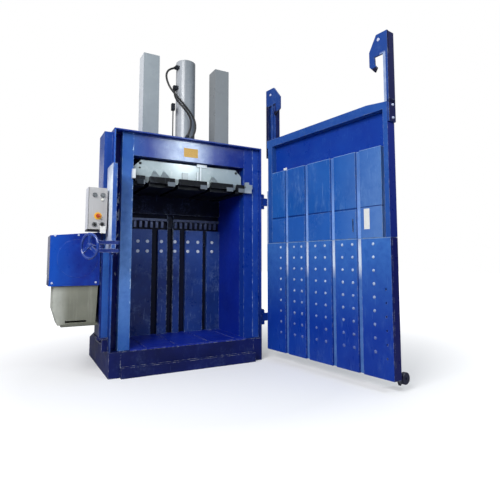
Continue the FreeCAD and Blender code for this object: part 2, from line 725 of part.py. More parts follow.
def platen_fascia():
    """The tall front plate with sloping corners, its gussets, brackets and strap guides."""
    outline = [("-platen_half", "plate_top"), ("platen_half", "plate_top"),
               ("platen_half", "fascia_shoulder"), ("fascia_top_half", "fascia_top"),
               ("-fascia_top_half", "fascia_top"), ("-platen_half", "fascia_shoulder")]
    holes = [("-fascia_top_half - 10", "fascia_shoulder + 34", "9"),
             ("fascia_top_half + 5", "fascia_shoulder + 34", "9"),
             ("-fascia_top_half - 12", "fascia_shoulder - 10", "7")]
    pieces = [profile("XZ", outline, "fascia_front", "fascia_sheet", holes)]
    for middle in ("-platen_half + 192", "-platen_half + 286", "platen_half - 331"):
        pieces.append(gusset(middle))
    front = "fascia_front - bracket_front"
    pieces.append(block("-92", "-30", front, "fascia_front", "plate_top + 16",
                        "plate_top + 80"))
    pieces.append(block("92", "108", front, "fascia_front", "plate_top", "fascia_top - 14"))
    pieces.append(block("62", "76", front, "fascia_front", "plate_top", "fascia_top - 64"))
    pieces.append(block("62", "168", front, "fascia_back", "fascia_top - 14",
                        "fascia_top + 16"))
    guides = []
    for middle in GROOVES:
        left, right = f"{middle} - groove_width / 2", f"{middle} + groove_width / 2"
        strap = [(left, "plate_bottom - guide_lip + 10"), (f"{left} + 12",
                 "plate_bottom - guide_lip"), (f"{right} - 14", "plate_bottom - guide_lip"),
                 (right, "plate_bottom"), (right, "plate_top"), (left, "plate_top")]
        guides.append(profile("XZ", strap, "pads_front - 10", "10"))
    node("platen_fascia", group(fuse(*pieces), *guides))


def crosshead():
    """Two webs that hold the columns, and the boss under the piston rod."""
    front = "column_front - 0.3 - web_sheet"
    back = "column_back + 0.3"
    webs = [block("-crosshead_half", "crosshead_half", start, f"{start} + web_sheet",
                  "plate_top", "crosshead_top") for start in (front, back)]
    boss = rod("z", "0", "press_middle", "plate_top", "rod_radius * 1.6",
               "crosshead_top - plate_top")
    node("platen_crosshead", group(boss, *webs))


# ------------------------------------------------------------------------------------ door

def lower_door():
    left, right = "-frame_half", "frame_half"
    slab = block(left, right, "door_outer", "strip_back", "door_bottom", "door_top")
    rib = 60
    pockets = []
    for column in range(4):
        span = f"(2 * frame_half - {5 * rib}) / 4"
        start = f"{left} + {rib} + {column} * ({span} + {rib})"
        for row in range(3):
            rise = f"(door_top - door_bottom - {4 * rib}) / 3"
            base_level = f"door_bottom + {rib} + {row} * ({rise} + {rib})"
            pockets.append(block(start, f"{start} + {span}", "door_outer - 1",
                                 "strip_back - wall_sheet", base_level,
                                 f"{base_level} + {rise}"))
    stile = block("stile_left", right, "door_outer", "door_inner", "door_top", "stile_top")
    foot = block("stile_left", right, "door_outer", "strip_back", "door_top - 1", "door_top")
    door_node("door_panel", fuse(cut(slab, *pockets), foot, stile))
    strips = []
    stud_columns = {0: (166,), 1: (47, 157), 2: (74, 192), 3: (49, 154), 4: (67,)}
    for index, (start, stop) in enumerate(between_grooves(left, right)):
        strip = block(start, stop, "strip_back", "door_inner", "door_bottom", "door_top")
        if index == 0:
            drills = [rod("y", f"{left} + drill_inset", "strip_back - 1",
                          f"door_bottom + drill_first + {step} * stud_pitch",
                          "drill_radius", "strip_depth + 2") for step in range(6)]
            strip = cut(strip, *drills)
        heads = []
        for along in stud_columns[index]:
            for step in range(9):
                heads.append(dome(1, f"{start} + {along}", "door_inner",
                                  f"door_top - stud_first - {step} * stud_pitch"))
        strips.append(fuse(strip, *heads))
    door_node("door_strips", *strips)


def door_rails():
    """Guide rails on the outside of the lower door, for the lifting gate."""
    rails = []
    for side in SIDES.values():
        left, right = across(side, "gate_rail_middle - gate_rail_width / 2",
                             "gate_rail_middle + gate_rail_width / 2")
        rails.append(block(left, right, "door_outer - gate_rail_depth", "door_outer",
                           "gate_rail_bottom", "gate_rail_top"))
    door_node("gate_guide_rails", *rails)


def hinges():
    """Two hinges: fixed ears and pins on the frame, leaves on the door."""
    ears, pins, leaves = [], [], []
    for level in ("hinge_low", "hinge_high"):
        for bottom in (level, f"{level} + hinge_height - hinge_ear"):
            lug = block("frame_half", "hinge_x", "hinge_y - knuckle_radius",
                        "hinge_y + knuckle_radius", bottom, f"{bottom} + hinge_ear")
            eye = rod("z", "hinge_x", "hinge_y", bottom, "knuckle_radius", "hinge_ear")
            hole = rod("z", "hinge_x", "hinge_y", f"{bottom} - 1", "hinge_pin_radius",
                       "hinge_ear + 2")
            ears.append(cut(fuse(lug, eye), hole))
        shank = rod("z", "hinge_x", "hinge_y", level, "hinge_pin_radius", "hinge_height")
        cap = rod("z", "hinge_x", "hinge_y", f"{level} + hinge_height",
                  "hinge_pin_radius + 6", "8")
        pins.append(fuse(shank, cap))
        bottom = f"{level} + hinge_ear + hinge_gap"
        height = "hinge_height - 2 * hinge_ear - 2 * hinge_gap"
        arm = [("frame_half", "door_outer + 20"), ("hinge_x", "door_outer + 35"),
               ("hinge_x + knuckle_radius", "hinge_y"), ("frame_half + 6", "hinge_y"),
               ("frame_half + 6", "door_inner - 4"), ("frame_half", "door_inner - 4")]
        leaf = fuse(profile("XY", arm, bottom, height),
                    rod("z", "hinge_x", "hinge_y", bottom, "knuckle_radius - 2", height))
        hole = rod("z", "hinge_x", "hinge_y", f"{bottom} - 1",
                   "hinge_pin_radius + running_gap", f"{height} + 2")
        leaves.append(cut(leaf, hole))
    node("hinge_brackets", group(*ears))
    node("hinge_pins", group(*pins))
    door_node("hinge_leaves", *leaves)


def gate():
    left, right = "-frame_half", "frame_half"
    free, hinge = f"{left} + gate_post_free", f"{right} - gate_post_hinge"
    posts = [block(start, stop, "gate_outer", "door_inner", "gate_bottom",
                   "gate_beam_bottom")
             for start, stop in ((left, free), (hinge, "stile_left - gate_running_gap"))]
    claws = []
    for side in SIDES.values():
        outer = "gate_rail_width / 2 + gate_running_gap"
        for bottom in ("gate_bottom + 20", "gate_bottom + 300"):
            middle = f"{side} * gate_rail_middle"
            back = "door_outer - gate_rail_depth - gate_running_gap"
            body = block(f"{middle} - ({outer} + claw_sheet)",
                         f"{middle} + {outer} + claw_sheet", f"{back} - claw_sheet",
                         "gate_outer", bottom, f"{bottom} + claw_length")
            room = block(f"{middle} - ({outer})", f"{middle} + {outer}", back,
                         "gate_outer + 1", f"{bottom} - 1", f"{bottom} + claw_length + 1")
            claws.append(cut(body, room))
    beam = [(left, "gate_beam_bottom"), (right, "gate_beam_bottom"), (right, "gate_top"),
            (f"{left} + 200", "gate_top"), (left, "gate_top - 24")]
    bar = profile("XZ", beam, "gate_outer", "door_inner - gate_outer")
    door_node("gate_frame", fuse(bar, *posts, *claws))
    door_node("gate_sheet",
              block(free, hinge, "recess_face - gate_sheet", "recess_face", "gate_bottom",
                    "gate_beam_bottom"))
    strips = [block(start, stop, "strip_back", "door_inner", "gate_bottom", "strip_top")
              for start, stop in between_grooves(f"{free} + gate_slot", hinge)]
    backing = block(f"{free} + gate_slot", hinge, "recess_face", "strip_back", "gate_bottom",
                    "strip_top")
    door_node("gate_strips", fuse(backing, *strips))


def lifting_arms():
    """Channel arms bolted to the gate's ends, each with a hook that opens downwards."""
    widths = {"left": "arm_width", "right": "arm_width_hinge"}
    reaches = {"left": "hook_reach", "right": "hook_reach_hinge"}
    for name, side in SIDES.items():
        width, reach = widths[name], reaches[name]
        near, far = across(side, f"arm_far - {width}", "arm_far")
        lap_near, lap_far = across(side, "frame_half", "arm_far")
        shell = block(near, far, "arm_front", "arm_back", "gate_top", "hook_top - 60")
        room_near, room_far = across(side, f"arm_far - {width} - 1", "arm_far - arm_sheet")
        rooms = [block(room_near, room_far, "arm_front + arm_sheet",
                       "arm_back - arm_sheet - arm_rebate", "gate_top - 1", "hook_top - 180")]
        if name == "right":
            rooms.append(block("arm_far - arm_width", "arm_far + 1", "arm_back - arm_rebate",
                               "arm_back + 1", "gate_top - 1", "hook_top - 180"))
        lap = block(lap_near, lap_far, "arm_front", "arm_back", "lap_bottom", "gate_top")
        bolts = []
        for level in ("arm_bolt_low", "arm_bolt_high"):
            head_start = "arm_far" if side > 0 else "-arm_far - 10"
            bolts.append(rod("x", head_start, "(arm_front + arm_back) / 2",
                             f"lap_bottom + {level}", "arm_bolt", "10"))
        def out(distance):
            return f"{side} * (arm_far - ({distance}))"
        hook = [(out("0"), "hook_top - 190"), (out(width), "hook_top - 182"),
                (out(f"{reach} - hook_finger + 3"), "hook_top - 182"),
                (out(f"{reach} - hook_finger"), "hook_top - 246"),
                (out(f"{reach} - hook_finger - hook_toe"), "hook_top - 276"),
                (out(f"{reach} - hook_finger"), "hook_top - 312"),
                (out(reach), "hook_top - 252"), (out(reach), "hook_top - 126"),
                (out(f"{reach} - 72"), "hook_top"), (out("0"), "hook_top")]
        head = profile("XZ", hook, "(arm_front + arm_back - hook_sheet) / 2", "hook_sheet",
                       [(out(f"{reach} - 94"), "hook_top - 50", "11")])
        door_node(f"lifting_arm_{name}", fuse(cut(shell, *rooms), lap, head, *bolts))


def door_roller():
    """Roller at the foot of the door's free end, in its bracket."""
    x_start = "-frame_half"
    y_middle = "door_outer - roller_radius - 30"
    cheek = [("door_outer", "roller_height + 70"), ("door_outer", "door_bottom + 4"),
             (f"{y_middle} - 16", "roller_height - 16"),
             (f"{y_middle} - 16", "roller_height + 18")]
    near = f"{x_start} + 10 + roller_width + 1"
    plate = profile("YZ", cheek, near, "10")
    axle = rod("x", f"{x_start} + 4", y_middle, "roller_height", "axle_radius",
               "roller_width + 20")
    toe = [("door_inner - 60", "door_bottom"), ("door_outer", "door_bottom"),
           ("door_outer", "door_bottom - 22"), ("door_outer + 12", "door_bottom - 40")]
    lug = profile("YZ", toe, x_start, "24")
    door_node("roller_bracket", fuse(plate, axle), lug)
    tread = [("axle_radius + running_gap", "0"), ("roller_radius - 4", "0"),
             ("roller_radius", "4"), ("roller_radius", "roller_width - 4"),
             ("roller_radius - 4", "roller_width"),
             ("axle_radius + running_gap", "roller_width")]
    door_node("door_roller",
              turned(tread, f"{x_start} + 10", y_middle, "roller_height", TURNS["x"]))


# ------------------------------------------------------------------------- latch, left side

def side_column():
    left, right = "-frame_half - column_box_width", "-frame_half"
    back = "column_box_front + column_box_depth"
    shell = block(left, right, "column_box_front", back, "column_box_bottom",
                  "column_box_top")
    room = block(f"{left} + wall_sheet", f"{right} - wall_sheet",
                 "column_box_front + wall_sheet", f"{back} - wall_sheet",
                 "column_box_bottom - 1", "column_box_top - wall_sheet")
    node("side_column", cut(shell, room))
    shelf = block(f"{left} - 15", right, "column_box_front - 30", back,
                  "column_box_bottom - 15", "column_box_bottom")
    gusset = [(f"{left} - 15", "column_box_bottom - 15"), (right, "column_box_bottom - 15"),
              (right, "base_top + 10")]
    ribs = [profile("XZ", gusset, start, "10") for start in ("column_box_front", f"{back} - 12")]
    pedestal = block(f"{right} - 50", right, "column_box_front - 24",
                     "column_box_front + 40", "base_top", "column_box_bottom - 15")
    node("column_foot", fuse(shelf, pedestal, *ribs))


def latch_rail():
    """Deep upright on the left edge that carries the clamping arm."""
    bottom = "latch_low + latch_plate + latch_arm_gap"
    body = fuse(block("latch_left", "latch_right", "-latch_rail_reach", "60", bottom,
                      "latch_rail_top"),
                block("latch_right", "-frame_half", "6", "60", bottom, "latch_rail_top"))
    room = block("latch_left - 1", "latch_right + 1", "-latch_rail_reach - 1",
                 "latch_y + latch_tail + latch_arm_half + 8", "latch_high - latch_arm_gap",
                 "latch_high + latch_plate + latch_arm_gap")
    hole = rod("z", "latch_x", "latch_y", f"{bottom} - 1", "latch_pin_radius + running_gap",
               "latch_clear + latch_plate + 40")
    node("latch_rail", cut(body, room, hole))


def latch_arm():
    """Clamping arm: two plates, spindle block and pivot pin."""
    plates = []
    for bottom in ("latch_low", "latch_high"):
        bar = block("block_x", "latch_x + latch_tail", "latch_y - latch_arm_half",
                    "latch_y + latch_arm_half", bottom, f"{bottom} + latch_plate")
        ends = [rod("z", x, "latch_y", bottom, "latch_arm_half", "latch_plate")
                for x in ("block_x", "latch_x + latch_tail")]
        hole = rod("z", "latch_x", "latch_y", f"{bottom} - 1", "latch_pin_radius",
                   "latch_plate + 2")
        plates.append(cut(fuse(bar, *ends), hole))
    hub = rod("z", "block_x", "latch_y", "latch_low + latch_plate", "latch_arm_half - 6",
              "latch_clear")
    bore = DOC.addObject("Part::Cylinder", "Bore")
    bore.Placement.Rotation = spindle_turn()
    bind(bore, Radius="spindle_radius + running_gap", Height="80")
    locate(bore, "block_x + 40 * sin(wheel_turn)", "latch_y + 40 * cos(wheel_turn)",
           "latch_level")
    pin = rod("z", "latch_x", "latch_y", "latch_low - 20", "latch_pin_radius",
              "latch_clear + 2 * latch_plate + 30")
    node("latch_arm", group(*plates, cut(hub, bore), pin))


def spindle_turn():
    """Turns +Z to the heading of the spindle, level and out to the front left."""
    tilt = FreeCAD.Rotation(FreeCAD.Vector(1, 0, 0), 90)
    heading = FreeCAD.Rotation(FreeCAD.Vector(0, 0, 1), -value("wheel_turn"))
    return heading.multiply(tilt)


def hand_wheel():
    """Three-spoked hand wheel on its spindle."""
    rim = DOC.addObject("Part::Torus", "Rim")
    bind(rim, Radius1="wheel_radius", Radius2="wheel_rim")
    pieces = [rim]
    hub = turned([("0", "-16"), ("24", "-16"), ("24", "10"), ("18", "22"), ("0", "22")],
                 "0", "0", "0")
    shank = rod("z", "0", "0", "-(wheel_reach + 34)", "spindle_radius", "wheel_reach + 20")
    pieces += [hub, shank]
    for step in range(3):
        spoke = DOC.addObject("Part::Box", "Spoke")
        bind(spoke, Length="wheel_radius", Width="spoke_width", Height="12")
        turn = FreeCAD.Rotation(FreeCAD.Vector(0, 0, 1), 120 * step + 90)
        spoke.Placement.Rotation = turn
        spoke.Placement.Base = turn.multVec(FreeCAD.Vector(0, -value("spoke_width") / 2, -6))
        pieces.append(spoke)
    wheel = fuse(*pieces)
    wheel.Placement.Rotation = spindle_turn()
    locate(wheel, "wheel_x", "wheel_y", "latch_level")
    node("hand_wheel", wheel)


# --------------------------------------------------------------------- power pack, controls

def power_pack():
    """Sheet cover with a sloping roof over motor and tank, on a bracket behind."""
    outline = [("cover_left", "cover_bottom"), ("cover_right", "cover_bottom"),
               ("cover_right", "cover_top + cover_rise"), ("cover_left", "cover_top")]
    inner = [("cover_left + cover_sheet", "cover_bottom - 1"),
             ("cover_right - cover_sheet", "cover_bottom - 1"),
             ("cover_right - cover_sheet", "cover_top + cover_rise - cover_sheet"),
             ("cover_left + cover_sheet", "cover_top - cover_sheet")]
    shell = profile("XZ", outline, "cover_front", "cover_depth")
    room = profile("XZ", inner, "cover_front + cover_sheet", "cover_depth - 2 * cover_sheet")
    node("pack_cover", cut(shell, room))
    tank = [("tank_left + 42", "tank_bottom"), ("tank_right - 14", "tank_bottom"),
            ("tank_right", "cover_bottom"), ("tank_left", "cover_bottom"),
            ("tank_left", "tank_bottom + 130")]
    body = profile("XZ", tank, "cover_front + tank_inset", "cover_depth - tank_inset")
    slot = block("tank_left + 100", "tank_right - 88", "cover_front + tank_inset - 1",
                 "cover_back + 1", "tank_bottom + 18", "tank_bottom + 34")
    node("oil_tank", cut(body, slot))
    motor_x = "(cover_left + cover_right) / 2"
    motor_y = "cover_front + cover_depth / 2"
    motor = turned([("0", "0"), ("60", "0"), ("60", "90"), ("98", "100"), ("98", "330"),
                    ("84", "344"), ("0", "344")], motor_x, motor_y, "cover_bottom")
    node("pump_motor", motor)
    plate = block("tank_left + bracket_inset", "-frame_half", "cover_back",
                  "cover_back + bracket_sheet", "tank_bottom + 20", "cover_top - 20")
    fin = block("-frame_half - 60", "-frame_half", "cover_back + bracket_sheet",
                "cover_back + bracket_sheet + 10", "tank_bottom + 20", "cover_top - 20")
    node("pack_bracket", fuse(plate, fin))


CONTROLS = {
    # name: x from the box's left edge, z above its lower edge
    "selector_left": (53, 306),
    "selector_right": (118, 308),
    "signal_lamp": (115, 269),
    "emergency_stop": (81, 128),
    "button_up": (55, 54),
    "button_down": (116, 56),
}


def control_box():
    box = block("panel_left", "panel_right", "panel_front", "column_box_front",
                "panel_bottom", "panel_top")
    holes = []
    for x_offset, z_offset in CONTROLS.values():
        holes.append(rod("y", f"panel_left + {x_offset}", "panel_front - 5",
                         f"panel_bottom + {z_offset}", "9 + stem_gap", "26"))
    collar = rod("y", f"panel_left + {CONTROLS['emergency_stop'][0]}", "panel_front - 4",
                 f"panel_bottom + {CONTROLS['emergency_stop'][1]}", "31", "4")
    sill = block("panel_left", "panel_right", "panel_front - 3", "panel_front",
                 "panel_bottom", "panel_bottom + 14")
    node("control_box", cut(fuse(box, collar, sill), *holes))


FACING = FreeCAD.Rotation(FreeCAD.Vector(1, 0, 0), 90)


def control(name, section):
    """A turned button or knob that faces the front, its stem in the box."""
    x_offset, z_offset = CONTROLS[name]
    piece = turned(section, f"panel_left + {x_offset}", "panel_front",
                   f"panel_bottom + {z_offset}", FACING)
    node(name, piece)


def controls():
    push = [("0", "-12"), ("9", "-12"), ("9", "5"), ("13", "5"), ("13", "11"),
            ("11", "13"), ("0", "13")]
    control("button_up", push)
    control("button_down", push)
    control("signal_lamp", [("0", "-12"), ("9", "-12"), ("9", "0"), ("12", "0"), ("12", "6"),
                            ("7", "11"), ("0", "12")])
    control("emergency_stop", [("0", "-12"), ("9", "-12"), ("9", "12"), ("15", "14"),
                               ("19", "20"), ("17", "28"), ("0", "31")])
    for name in ("selector_left", "selector_right"):
        dial = [("0", "-12"), ("9", "-12"), ("9", "knob_gap"), ("15", "knob_gap"),
                ("15", "8"), ("0", "8")]
        x_offset, z_offset = CONTROLS[name]
        knob = turned(dial, "0", "0", "0")
        grip = DOC.addObject("Part::Box", "Grip")
        bind(grip, Length="7", Width="26", Height="14")
        grip.Placement.Base = FreeCAD.Vector(-3.5, -13, 7)
        piece = fuse(knob, grip)
        piece.Placement.Rotation = FACING
        locate(piece, f"panel_left + {x_offset}", "panel_front", f"panel_bottom + {z_offset}")
        node(name, piece)


def limit_switch():
    """Thin stand with a switch beside the cylinder."""
    stand = rod("z", "-152", "press_middle - 60", "frame_top", "6", "330")
    switch = block("-168", "-136", "press_middle - 78", "press_middle - 42",
                   "frame_top + 330", "frame_top + 400")
    node("limit_switch", fuse(stand, switch))


# ------------------------------------------------------------------------- hydraulic hoses

HOSE_RADIUS = 10
SUPPLY_ROUTE = [(-138, 235, 2988), (-181, 226, 2966), (-216, 213, 2930), (-235, 196, 2880),
                (-234, 176, 2820), (-214, 152, 2746), (-174, 130, 2682), (-122, 114, 2622),
                (-66, 105, 2562), (-10, 101, 2500), (34, 100, 2436), (50, 100, 2366),
                (42, 99, 2302), (18, 98, 2248)]
RETURN_ROUTE = [(-128, 246, 2752), (-132, 236, 2706), (-124, 212, 2658), (-102, 180, 2610),
                (-64, 154, 2560), (-20, 141, 2504), (10, 138, 2442), (14, 139, 2378),
                (4, 143, 2322), (-18, 147, 2272)]


def hose_path(route):
    """Straight runs joined by tangent arcs, each as large as its two runs allow."""
    points = [FreeCAD.Vector(*point) for point in route]
    edges, start, radii = [], points[0], []
    for before, corner, after in zip(points, points[1:], points[2:]):
        back, ahead = before - corner, after - corner
        turn = math.pi - back.getAngle(ahead)
        reach = 0.45 * min(back.Length, ahead.Length)
        radius = reach / math.tan(turn / 2)
        radii.append(radius)
        back.normalize()
        ahead.normalize()
        inward = back + ahead
        inward.normalize()
        depth = (reach ** 2 + radius ** 2) ** 0.5 - radius
        first, last = corner + back * reach, corner + ahead * reach
        edges.append(Part.LineSegment(start, first).toShape())
        edges.append(Part.Arc(first, corner + inward * depth, last).toShape())
        start = last
    edges.append(Part.LineSegment(start, points[-1]).toShape())
    return Part.Wire(edges), radii


def hose(name, route):
    path, radii = hose_path(route)
    start = FreeCAD.Vector(*route[0])
    direction = FreeCAD.Vector(*route[1]) - start
    ring = Part.Wire(Part.Circle(start, direction, HOSE_RADIUS).toShape())
    tube = path.makePipeShell([ring], True, False)
    expected = math.pi * HOSE_RADIUS ** 2 * path.Length
    print(f"{name}: length {path.Length:.0f}, radii {min(radii):.0f} to {max(radii):.0f}, "
          f"volume {tube.Volume / expected:.4f} of section times length")
    piece = DOC.addObject("Part::Feature", "Hose")
    piece.Shape = tube
    node(name, piece)


def nipple(end, beyond):
    """A short ferrule whose end face meets a hose end; it runs away from the hose."""
    piece = DOC.addObject("Part::Cylinder", "Nipple")
    direction = FreeCAD.Vector(*end) - FreeCAD.Vector(*beyond)
    piece.Placement.Rotation = FreeCAD.Rotation(FreeCAD.Vector(0, 0, 1), direction)
    piece.Placement.Base = FreeCAD.Vector(*end)
    bind(piece, Radius="ferrule_radius", Height="ferrule_length")
    return piece


def hoses():
    """Two hoses with their ferrules and blocks on barrel, flange and top plate."""
    hose("supply_hose", SUPPLY_ROUTE)
    hose("return_hose", RETURN_ROUTE)
    half = "ferrule_radius + 2"
    fittings = []
    for route, level, reach in ((SUPPLY_ROUTE, 2982, 26), (RETURN_ROUTE, 2770, 42)):
        port = block(f"-barrel_radius - {reach}", "-barrel_radius + 14", f"{route[0][1]} - 13",
                     f"{route[0][1]} + 23", f"{level}", f"{level} + 36")
        barrel = rod("z", "0", "press_middle", f"{level} - 1", "barrel_radius", "38")
        fittings.append(fuse(cut(port, barrel), nipple(route[0], route[1])))
    for route, level in ((SUPPLY_ROUTE, "frame_top"),
                         (RETURN_ROUTE, "frame_top + flange_height")):
        middle_x, middle_y = route[-1][0] - 10, route[-1][1]
        foot = block(f"{middle_x} - ({half})", f"{middle_x} + {half}",
                     f"{middle_y} - ({half})", f"{middle_y} + {half}", level,
                     f"{level} + 26 - ferrule_radius / 2")
        fittings.append(fuse(foot, nipple(route[-1], route[-2])))
    node("hose_fittings", group(*fittings))


def build():
    base()
    side_plates()
    front_posts()
    channel_webs()
    chamber()
    rear_panels()
    ejector()
    retaining_claws()
    head()
    cylinder()
    guide_columns()
    platen()
    platen_fascia()
    crosshead()
    lower_door()
    door_rails()
    hinges()
    gate()
    lifting_arms()
    door_roller()
    side_column()
    latch_rail()
    latch_arm()
    hand_wheel()
    power_pack()
    control_box()
    controls()
    limit_switch()
    hoses()


def check():
    """Stops if any feature failed or any sub-part is empty or not a valid solid."""
    for item in DOC.Objects:
        if "Invalid" in item.State or "Error" in item.State:
            raise RuntimeError(f"{item.Name} ({item.Label}) failed: {item.State}")
    for name, piece in NODES.items():
        shape = piece.Shape
        if shape.isNull() or not shape.isValid() or not shape.Solids:
            raise RuntimeError(f"{name} has no valid solid")


def export():
    os.makedirs("parts", exist_ok=True)
    for name, piece in NODES.items():
        piece.Shape.exportStep(f"parts/{name}.step")
    print(f"{len(NODES)} sub-parts written")


build()
DOC.recompute()
check()
export()
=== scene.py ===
import bpy
import bmesh
import json
import math
from mathutils import Matrix, Vector


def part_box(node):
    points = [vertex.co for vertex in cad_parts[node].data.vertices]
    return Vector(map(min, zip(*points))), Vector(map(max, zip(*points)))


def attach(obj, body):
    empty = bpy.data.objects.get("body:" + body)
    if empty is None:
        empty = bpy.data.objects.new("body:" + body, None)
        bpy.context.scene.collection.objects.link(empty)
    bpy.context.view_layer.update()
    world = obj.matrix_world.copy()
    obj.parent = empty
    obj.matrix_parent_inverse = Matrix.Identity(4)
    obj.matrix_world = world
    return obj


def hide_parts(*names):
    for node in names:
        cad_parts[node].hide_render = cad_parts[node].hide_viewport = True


# An upright baling press with its door open. Metres: +X runs to the right along the front of
# the machine, +Y into it and +Z up from the floor.

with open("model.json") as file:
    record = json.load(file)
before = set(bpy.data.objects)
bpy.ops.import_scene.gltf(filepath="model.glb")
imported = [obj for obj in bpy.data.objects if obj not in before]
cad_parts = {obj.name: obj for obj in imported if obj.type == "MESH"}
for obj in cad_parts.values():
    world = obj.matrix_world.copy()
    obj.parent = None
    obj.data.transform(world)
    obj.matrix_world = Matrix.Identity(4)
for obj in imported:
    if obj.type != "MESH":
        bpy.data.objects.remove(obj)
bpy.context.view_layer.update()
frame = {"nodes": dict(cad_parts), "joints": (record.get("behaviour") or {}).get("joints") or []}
NODES = frame["nodes"]
scene = bpy.context.scene
scene.view_settings.view_transform = "Standard"

# ------------------------------------------------------------------------------- camera

CAMERA_PLACE = (-1.4796, -3.8146, 1.0105)
CAMERA_PITCH = 0.084
CAMERA_YAW = -0.501

camera_data = bpy.data.cameras.new("camera")
camera_data.sensor_width = 36.0
camera_data.lens = 30.38
camera_data.shift_x = 0.0021
camera_data.shift_y = -0.0498
camera = bpy.data.objects.new("camera", camera_data)
scene.collection.objects.link(camera)
camera.location = CAMERA_PLACE
camera.rotation_euler = (math.pi / 2 + CAMERA_PITCH, 0.0, CAMERA_YAW)
scene.camera = camera

# --------------------------------------------------------------------------- directions

UP = (0.0, 0.0, 1.0)
DOWN = (0.0, 0.0, -1.0)
FRONT = (0.0, -1.0, 0.0)
BACK = (0.0, 1.0, 0.0)
LEFT = (-1.0, 0.0, 0.0)
RIGHT = (1.0, 0.0, 0.0)

# All that the door carries is placed as on the closed door, which lies across the front of
# the machine, and is then turned open about the hinge. The joint's lower limit is closed.
DOOR_JOINT = next(joint for joint in frame["joints"] if joint["name"] == "door_swing")
HINGE = Vector((DOOR_JOINT["pos_m"][0], DOOR_JOINT["pos_m"][1], 0.0))
DOOR_ANGLE = math.radians(-DOOR_JOINT["range_deg"][0])
DOOR_TURN = (Matrix.Translation(HINGE) @ Matrix.Rotation(DOOR_ANGLE, 4, "Z")
             @ Matrix.Translation(-HINGE))


def on_open_door(direction, low, high, *values):
    """A stretch along a direction of the closed door, as it lies on the open one."""
    turned = DOOR_TURN.to_3x3() @ Vector(direction)
    shift = turned.dot(HINGE) - Vector(direction).dot(HINGE)
    return (tuple(turned), low + shift, high + shift, *values)


# ------------------------------------------------------------------------ material tools

def linear(rgb):
    """A colour as written on screen, 0 to 255, to what a shader takes."""
    out = []
    for part in rgb:
        part = part / 255.0
        out.append(part / 12.92 if part <= 0.04045 else ((part + 0.055) / 1.055) ** 2.4)
    return (out[0], out[1], out[2], 1.0)


